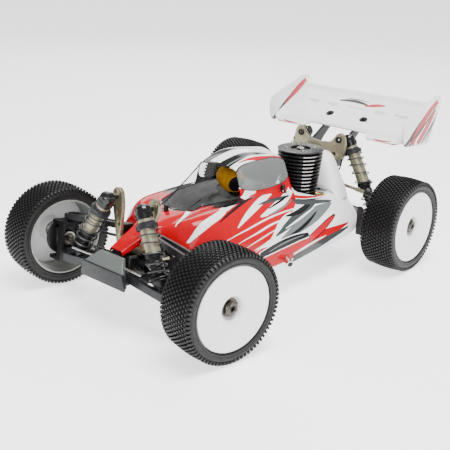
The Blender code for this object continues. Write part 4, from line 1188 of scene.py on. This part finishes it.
WING_PLAIN = wing_paint("fairing_white_look", [])
WING = wing_paint("wing_white_look", [
    ("top", (-30, 250), (-6, 253), (16, 249), (1.4, 2.6, 1.2), INK),
    ("top", (-24, 256), (0, 257), (14, 256), (0.3, 0.9, 0.3), SLATE),
    ("top", (12, 247), (27, 252), (40, 254), (1.0, 3.0, 1.0), PINK),
    ("front", (52, 141.5), (72, 140.5), (94, 143.5), (0.4, 1.5, 0.5), PINK),
    ("front", (60, 144.4), (74, 143.8), (86, 145), (0.2, 0.7, 0.2), PINK)])
FENCE = wing_paint("end_plate_look", [
    ("side", (197, 142), (222, 158), (262, 189), (2.6, 3.0, 0.7), INK),
    ("side", (206, 141), (228, 153), (252, 172), (2.2, 1.8, 0.6), SLATE),
    ("side", (214, 142), (236, 167), (270, 190), (4.2, 5.0, 3.2), PINK),
    ("side", (228, 141), (247, 158), (266, 180), (3.6, 4.4, 1.4), PINK),
    ("side", (210, 146), (238, 161), (268, 184), (0.8, 1.6, 0.7), INK),
    ("side", (238, 140), (254, 154), (270, 172), (1.4, 1.8, 0.7), INK),
    ("side", (248, 140), (260, 156), (272, 176), (1.2, 1.2, 0.5), SLATE),
    ("side", (203, 146), (220, 161), (240, 175), (1.2, 1.4, 0.5), INK)])


def build_body():
    sheet = shell_sheet()
    skin = piece("body_look", sheet, [livery(), lining()], "chassis", angle=50, stands_for=["body_shell"],
                 fix=False)
    wall = skin.modifiers.new("wall", "SOLIDIFY")
    wall.thickness = WALL * MM
    wall.offset = -1.0
    # The wall's inner side takes the lining's painted shade.
    wall.material_offset = 1
    opening = [(0, -34), (26, -29), (60, -29), (60, -88), (48, -90), (34, -88), (23, -92), (19, -76),
               (16, -60)]
    prism = slab(rounded(opening, 3.0), 60, bevel=0.0)
    screen = tool(prism, at(z=141))
    head = tool(lathe([(0, 90), (30.5, 90), (30.5, -90), (0, -90)], 48), at(28, 88, 145))
    rear = tool(block((-30, 130, 60), (30, 160, 100), 0), NONE)
    post = tool(lathe([(0, 15), (3.0, 15), (3.0, -15), (0, -15)], 20), at(0, -111, 105))
    cut(skin, [screen, head, rear, post])
    skin.data.shade_smooth()
    skin.data.set_sharp_from_angle(angle=math.radians(50))

    # A thin moulded frame round the windscreen.
    pillar = []
    for i in range(20):
        y = -106 + 75 * i / 19
        edge = half_section(y)[ROOF_EDGE]
        pillar.append((-edge.x, y, edge.y))
    brow = [on_shell(x, -31 - 2.5 * (1 - (x / 24) ** 2)) for x in (-23, -16, -8, 0, 6)]
    hood = [on_shell(x, -105.5 + 0.02 * x * x) for x in (-17, -11, -5, 0, 6, 12, 18, 23)]
    lines = merged(tube(pillar, 0.75, 2), tube([pillar[-1]] + brow, 0.6, 2), tube(hood, 0.45, 2))
    piece("windscreen_frame", lines, GLOSS, "chassis")


FAIRING = [
    (119, [(24, 88), (32, 89), (40, 90), (48, 90), (56, 89), (62, 84), (68, 78)]),
    (124, [(22, 108), (30, 112), (38, 111), (46, 104), (54, 96), (61, 88), (67, 78)]),
    (131, [(17, 122), (26, 128), (35, 126), (43, 117), (51, 105), (58, 93), (66, 78)]),
    (139, [(14, 126), (23, 131), (32, 130), (40, 121), (48, 107), (56, 94), (64, 77)]),
    (148, [(12, 127), (21, 131), (30, 130), (38, 121), (46, 106), (54, 93), (62, 75)]),
]


def build_fairing():
    """The body's raised white humps in front of the rear shock tower."""
    for side, word in ((1, "left"), (-1, "right")):
        sheet = bmesh.new()
        rows = [[sheet.verts.new((side * x, y, z)) for x, z in half] for y, half in FAIRING]
        for first, second in zip(rows, rows[1:]):
            for a, b, c, d in zip(first, first[1:], second[1:], second):
                sheet.faces.new((a, b, c, d) if side > 0 else (d, c, b, a))
        hump = piece("rear_fairing_" + word, sheet, WING_PLAIN, "chassis", angle=60,
                     fix=False)
        soft = hump.modifiers.new("soft", "SUBSURF")
        soft.levels = 2
        soft.render_levels = 2
        wall = hump.modifiers.new("wall", "SOLIDIFY")
        wall.thickness = WALL * MM
        wall.offset = -1.0


# ---------------------------------------------------------------- engine bay and fittings

ENGINE_X = 28.0
ENGINE_Y = 86.0
HEAD_TOP = 145.0
FINS = 13
FIN_PITCH = 4.45


def build_engine():
    top = HEAD_TOP
    profile = [(0, top - 2.2), (11.5, top - 2.2), (12.0, top), (26.6, top)]
    for i in range(FINS):
        z = top - i * FIN_PITCH
        rim = 27.6 - 0.42 * i
        profile += [(rim, z - 0.3), (rim, z - 1.5)]
        if i < FINS - 1:
            profile += [(rim - 0.3, z - 1.8), (20.5 - 0.3 * i, z - 2.2), (20.5 - 0.3 * i, z - 3.9),
                        (rim - 0.7, z - 4.3)]
    profile += [(15, top - FINS * FIN_PITCH + 1.6), (15, 84.6), (0, 84.6)]
    head = piece("head_look", lathe(profile, 72), [HEAD, HEAD_GLINT], "chassis", at(ENGINE_X, ENGINE_Y), 30,
                 ["cylinder_head"])
    # Painted highlight: fin edges in the sector from -44 to -2 degrees, below the top, take the bright glint
    # look.
    middle = CAR @ Vector((ENGINE_X, ENGINE_Y, 0))
    for face in head.data.polygons:
        way = face.center - middle
        turn = math.degrees(math.atan2(way.y, way.x))
        rim = math.hypot(way.x, way.y) / MM
        if -44 < turn < -2 and rim > 21.8 and abs(face.normal.z) < 0.5 and face.center.z < 0.1435:
            face.material_index = 1
    bolts = []
    for i in range(4):
        turn = math.pi / 4 + i * math.pi / 2
        bolts.append((screw_head(2.2, 1.6), at(17 * math.cos(turn), 17 * math.sin(turn), top - 0.1)))
    plug = lathe([(0, 2.2), (1.2, 2.2), (1.2, 0), (4.4, 0), (4.4, -2.4), (0, -2.4)], 24)
    hexagon = lathe([(0, 0.6), (4.0, 0.6), (4.6, 0), (4.6, -2), (0, -2)], 6)
    bolts += [(plug, at(z=top)), (hexagon, at(z=top))]
    piece("head_bolts", merged(*bolts), STEEL, "chassis", at(ENGINE_X, ENGINE_Y))
    refined("engine_crankcase", ALLOY, 0.6)
    refined("fuel_tank", TANK, 0.8)
    refined("steering_servo", BLACK, 0.6)
    coils = []
    for i in range(60):
        turn = 2 * math.pi * 6 * i / 59
        coils.append((ENGINE_X + 20 + 13 * i / 59, ENGINE_Y + 8 + 2.6 * math.cos(turn),
                      90 + 2.6 * math.sin(turn)))
    piece("manifold_spring", tube(coils, 0.75, 2, smooth=False), BRASS, "chassis")

    axis = at(-3, -3, 117, math.radians(-28)) @ Matrix.Rotation(math.radians(97), 4, "Y")
    foam = lathe([(0, -15.6), (11.0, -15.6), (14.2, -12.6), (14.8, -6), (14.6, 4), (12.6, 10), (10.4, 14.0),
                  (10.0, 15.6), (0, 15.6)], 48)
    piece("filter_look", foam, FOAM, "chassis", axis, 40, ["air_filter"])
    cap = lathe([(0, 16.1), (8.6, 16.1), (9.2, 15.6), (9.2, 14.6), (0, 14.6)], 40)
    piece("filter_cap", cap, BLACK, "chassis", axis, 30)
    elbow = tube([(2, -6, 106), (8, 4, 96), (18, 20, 100), (ENGINE_X, ENGINE_Y - 34, 104),
                  (ENGINE_X, ENGINE_Y - 34, 96)], 6.3, 4)
    piece("filter_elbow", elbow, BLACK, "chassis")

    can = lathe([(0, 62), (7, 60), (11.5, 50), (13.5, 40), (13.5, -18), (11.5, -28), (7, -42), (5, -47),
                 (0, -48)], 40)
    header = tube([(ENGINE_X + 25, ENGINE_Y + 6, 67), (60, ENGINE_Y + 8, 67), (72, ENGINE_Y + 22, 62),
                   (70, ENGINE_Y + 12, 57), (68, 90, 56)], 5.5, 4)
    piece("pipe_look", merged((can, at(68, 34, 56) @ ALONG_Y), header), PIPE, "chassis", NONE, 40,
          ["tuned_pipe"])
    bend = [(68, -12, 56), (67, -16, 56), (68, -12, 53), (71, -4, 50), (76, -2, 48), (95, -12, 42)]
    outer = tube(bend, 4.0, 5)
    end = (Vector(bend[-1]) - Vector(bend[-2])).normalized().to_track_quat("Z", "Y").to_matrix().to_4x4()
    mouth = lathe([(3.2, 0.6), (4.1, 0.6), (4.4, 0.2), (4.4, -6), (3.2, -6)], 32, closed=True)
    # Painted shade: a black disc set just inside the pipe's open end stands in for the shade inside the
    # hollow pipe.
    mouth_shade = lathe([(0, 0.1), (3.25, 0.1)], 24)
    tip = Matrix.Translation(bend[-1]) @ end
    piece("stinger_look", merged(outer, (mouth, tip)), PIPE, "chassis")
    piece("stinger_mouth_shade", merged((mouth_shade, tip @ at(z=0.1))), BLACK, "chassis")


def clip(place, name):
    """A body post with a wire clip through it."""
    post = lathe([(0, 9), (1.6, 9), (2.6, 8.2), (2.6, -14), (0, -14)], 24)
    washer = lathe([(2.7, 0.8), (4.6, 0.8), (4.6, -0.2), (2.7, -0.2)], 24, closed=True)
    piece(name + "_post", merged(post, washer), BLACK, "chassis", place)
    wire = [(-6, 0.6, 3), (2, 0.6, 3), (7, 1.6, 3), (9.5, 4.2, 3), (7, 6.2, 3), (3, 4.6, 3), (0, 3.4, 3),
            (-3, 4.4, 3), (-6, 5.6, 3)]
    piece(name + "_clip", tube(wire, 0.65, 2), STEEL, "chassis", place)


def build_fittings():
    refined("chassis_plate", ALLOY, 0.4)
    clip(at(0, -111, 101.8, 0.6), "front_body")
    clip(at(42, 37, 103, 2.4), "rear_body")
    for side, word in ((1, "left"), (-1, "right")):
        edge = [(-88, 37), (-40, 40), (44, 40), (96, 37), (90, 52), (40, 58), (-36, 58), (-84, 48)]
        guard = slab(rounded(edge, 4), 2.4, bevel=0.4)
        piece("side_guard_" + word, guard, BLACK, "chassis", at(side * 64) @ SIDEWAYS)
    box = block((10, -84, 37.2), (48, -50, 66), 2.0)
    lid = block((9, -85, 66), (49, -49, 69), 1.0)
    piece("receiver_box", merged(box, lid), BLACK, "chassis")
    servo = block((-4, -46, 37.2), (40, -26, 72), 1.0)
    horn = slab(rounded([(-3, -4), (3, -4), (2, 16), (-2, 16)], 1.5), 2.2, bevel=0.3)
    piece("throttle_servo", merged(servo, (horn, at(24, -36, 77, 0.5)),
                                   (lathe([(0, 4), (3, 4), (3.4, -5), (0, -5)], 20), at(24, -36, 76))),
          BLACK, "chassis")
    rods = merged(tube([(20, -52, 86), (26, -30, 88), (30, 30, 86)], 1.1),
                  tube([(34, -62, 88), (40, -44, 92), (38, -20, 90)], 2.6),
                  tube([(14, -50, 84), (6, -20, 86), (4, 20, 80)], 1.1))
    piece("throttle_rods", rods, STEEL, "chassis")
    shafts = merged((lathe([(0, 70), (3, 70), (3, -70), (0, -70)], 20), at(0, -62, 60) @ ALONG_Y),
                    (lathe([(0, 40), (3, 40), (3, -40), (0, -40)], 20), at(0, 96, 60) @ ALONG_Y))
    piece("centre_shafts", shafts, STEEL, "chassis")
    spur = lathe([(0, 3), (22.5, 3), (24, 2.4), (24, -2.4), (22.5, -3), (0, -3)], 46)
    case = lathe([(0, 16), (9, 16), (14, 11), (14, -11), (9, -16), (0, -16)], 32)
    piece("centre_gear", merged((spur, at(0, 30, 61) @ ALONG_Y), (case, at(0, 30, 60) @ ALONG_Y)), BLACK,
          "chassis")
    for tag, side in (("rl", 1), ("rr", -1)):
        flap = slab(rounded([(-1.5, 40), (-1.5, 76), (6, 76), (9, 60), (9, 40)], 2.0), 1.6, bevel=0.3)
        piece("mud_flap_" + tag, flap, BLACK, "lower_arm_" + tag,
              at(side * 94, 122, 3) @ (FLIP if side < 0 else NONE) @ UPRIGHT)
    for side, word in ((1, "left"), (-1, "right")):
        screws = [(screw_head(2.2, 1.6), at(side * 23, 201, 137) @ ALONG_X)]
        piece("strut_screw_" + word, merged(*screws), STEEL, "chassis")


# ---------------------------------------------------------------- stage

FLOOR_HALF = 30.0
FLOOR_GLOW = 1.6
SKY = 0.5
# Name, place and aim in metres, size in metres, power in watts.
LAMPS = [
    ("key", (0.5, -0.2, 1.7), (0, 0, 0.05), (1.1, 0.8), 62),
    ("side", (1.5, -1.3, 0.8), (0, 0, 0.1), (1.0, 1.0), 14),
    ("back", (-1.2, 1.0, 1.2), (0, 0, 0.1), (1.2, 0.8), 14),
]
CAMERA_AT = (0.5925, -0.68975 + ORIGIN_Y * MM, 0.3862)
CAMERA_LENS = 65.33
CAMERA_YAW = math.radians(-41.29)
CAMERA_PITCH = math.radians(-19.75)
CAMERA_ROLL = math.radians(1.88)


def build_floor():
    floor = bmesh.new()
    bmesh.ops.create_grid(floor, x_segments=1, y_segments=1, size=FLOOR_HALF)
    mesh = bpy.data.meshes.new("floor")
    floor.to_mesh(mesh)
    floor.free()
    look = surface("floor_look", (0.86, 0.86, 0.86), 0.7, grain=30, vary=0.01, bump=0.01, shine=0.2)
    glow = look.node_tree.nodes["Principled BSDF"].inputs
    glow["Emission Color"].default_value = (1.0, 1.0, 1.0, 1.0)
    glow["Emission Strength"].default_value = FLOOR_GLOW
    mesh.materials.append(look)
    linked("floor", mesh)


def build_light():
    world = bpy.data.worlds.new("studio")
    bpy.context.scene.world = world
    world.use_nodes = True
    back = world.node_tree.nodes["Background"]
    back.inputs["Color"].default_value = (1.0, 1.0, 1.0, 1.0)
    back.inputs["Strength"].default_value = SKY
    for name, where, aim, size, power in LAMPS:
        light = bpy.data.lights.new(name, "AREA")
        light.shape = "RECTANGLE"
        light.size, light.size_y = size
        light.energy = power
        obj = linked(name, light)
        obj.location = where
        obj.rotation_mode = "QUATERNION"
        obj.rotation_quaternion = (Vector(aim) - Vector(where)).to_track_quat("-Z", "Y")


def build_camera():
    camera = bpy.data.cameras.new("camera")
    camera.sensor_width = 36.0
    camera.lens = CAMERA_LENS
    camera.clip_start = 0.05
    camera.clip_end = 50.0
    flat = math.cos(CAMERA_PITCH)
    ahead = Vector((math.sin(CAMERA_YAW) * flat, math.cos(CAMERA_YAW) * flat, math.sin(CAMERA_PITCH)))
    level = Vector((math.cos(CAMERA_YAW), -math.sin(CAMERA_YAW), 0))
    upward = level.cross(ahead)
    right = level * math.cos(CAMERA_ROLL) + upward * math.sin(CAMERA_ROLL)
    up = upward * math.cos(CAMERA_ROLL) - level * math.sin(CAMERA_ROLL)
    turn = Matrix((right, up, -ahead)).transposed().to_4x4()
    obj = linked("camera", camera)
    obj.matrix_world = Matrix.Translation(CAMERA_AT) @ turn
    bpy.context.scene.camera = obj


build_wheels()
for corner_tag, corner_side, corner_front in CORNERS:
    build_shock(corner_tag, corner_side, corner_front)
    build_suspension(corner_tag, corner_side, corner_front)
build_steering()
build_front()
build_rear()
build_wing()
build_body()
build_fairing()
build_engine()
build_fittings()
build_floor()
build_light()
build_camera()
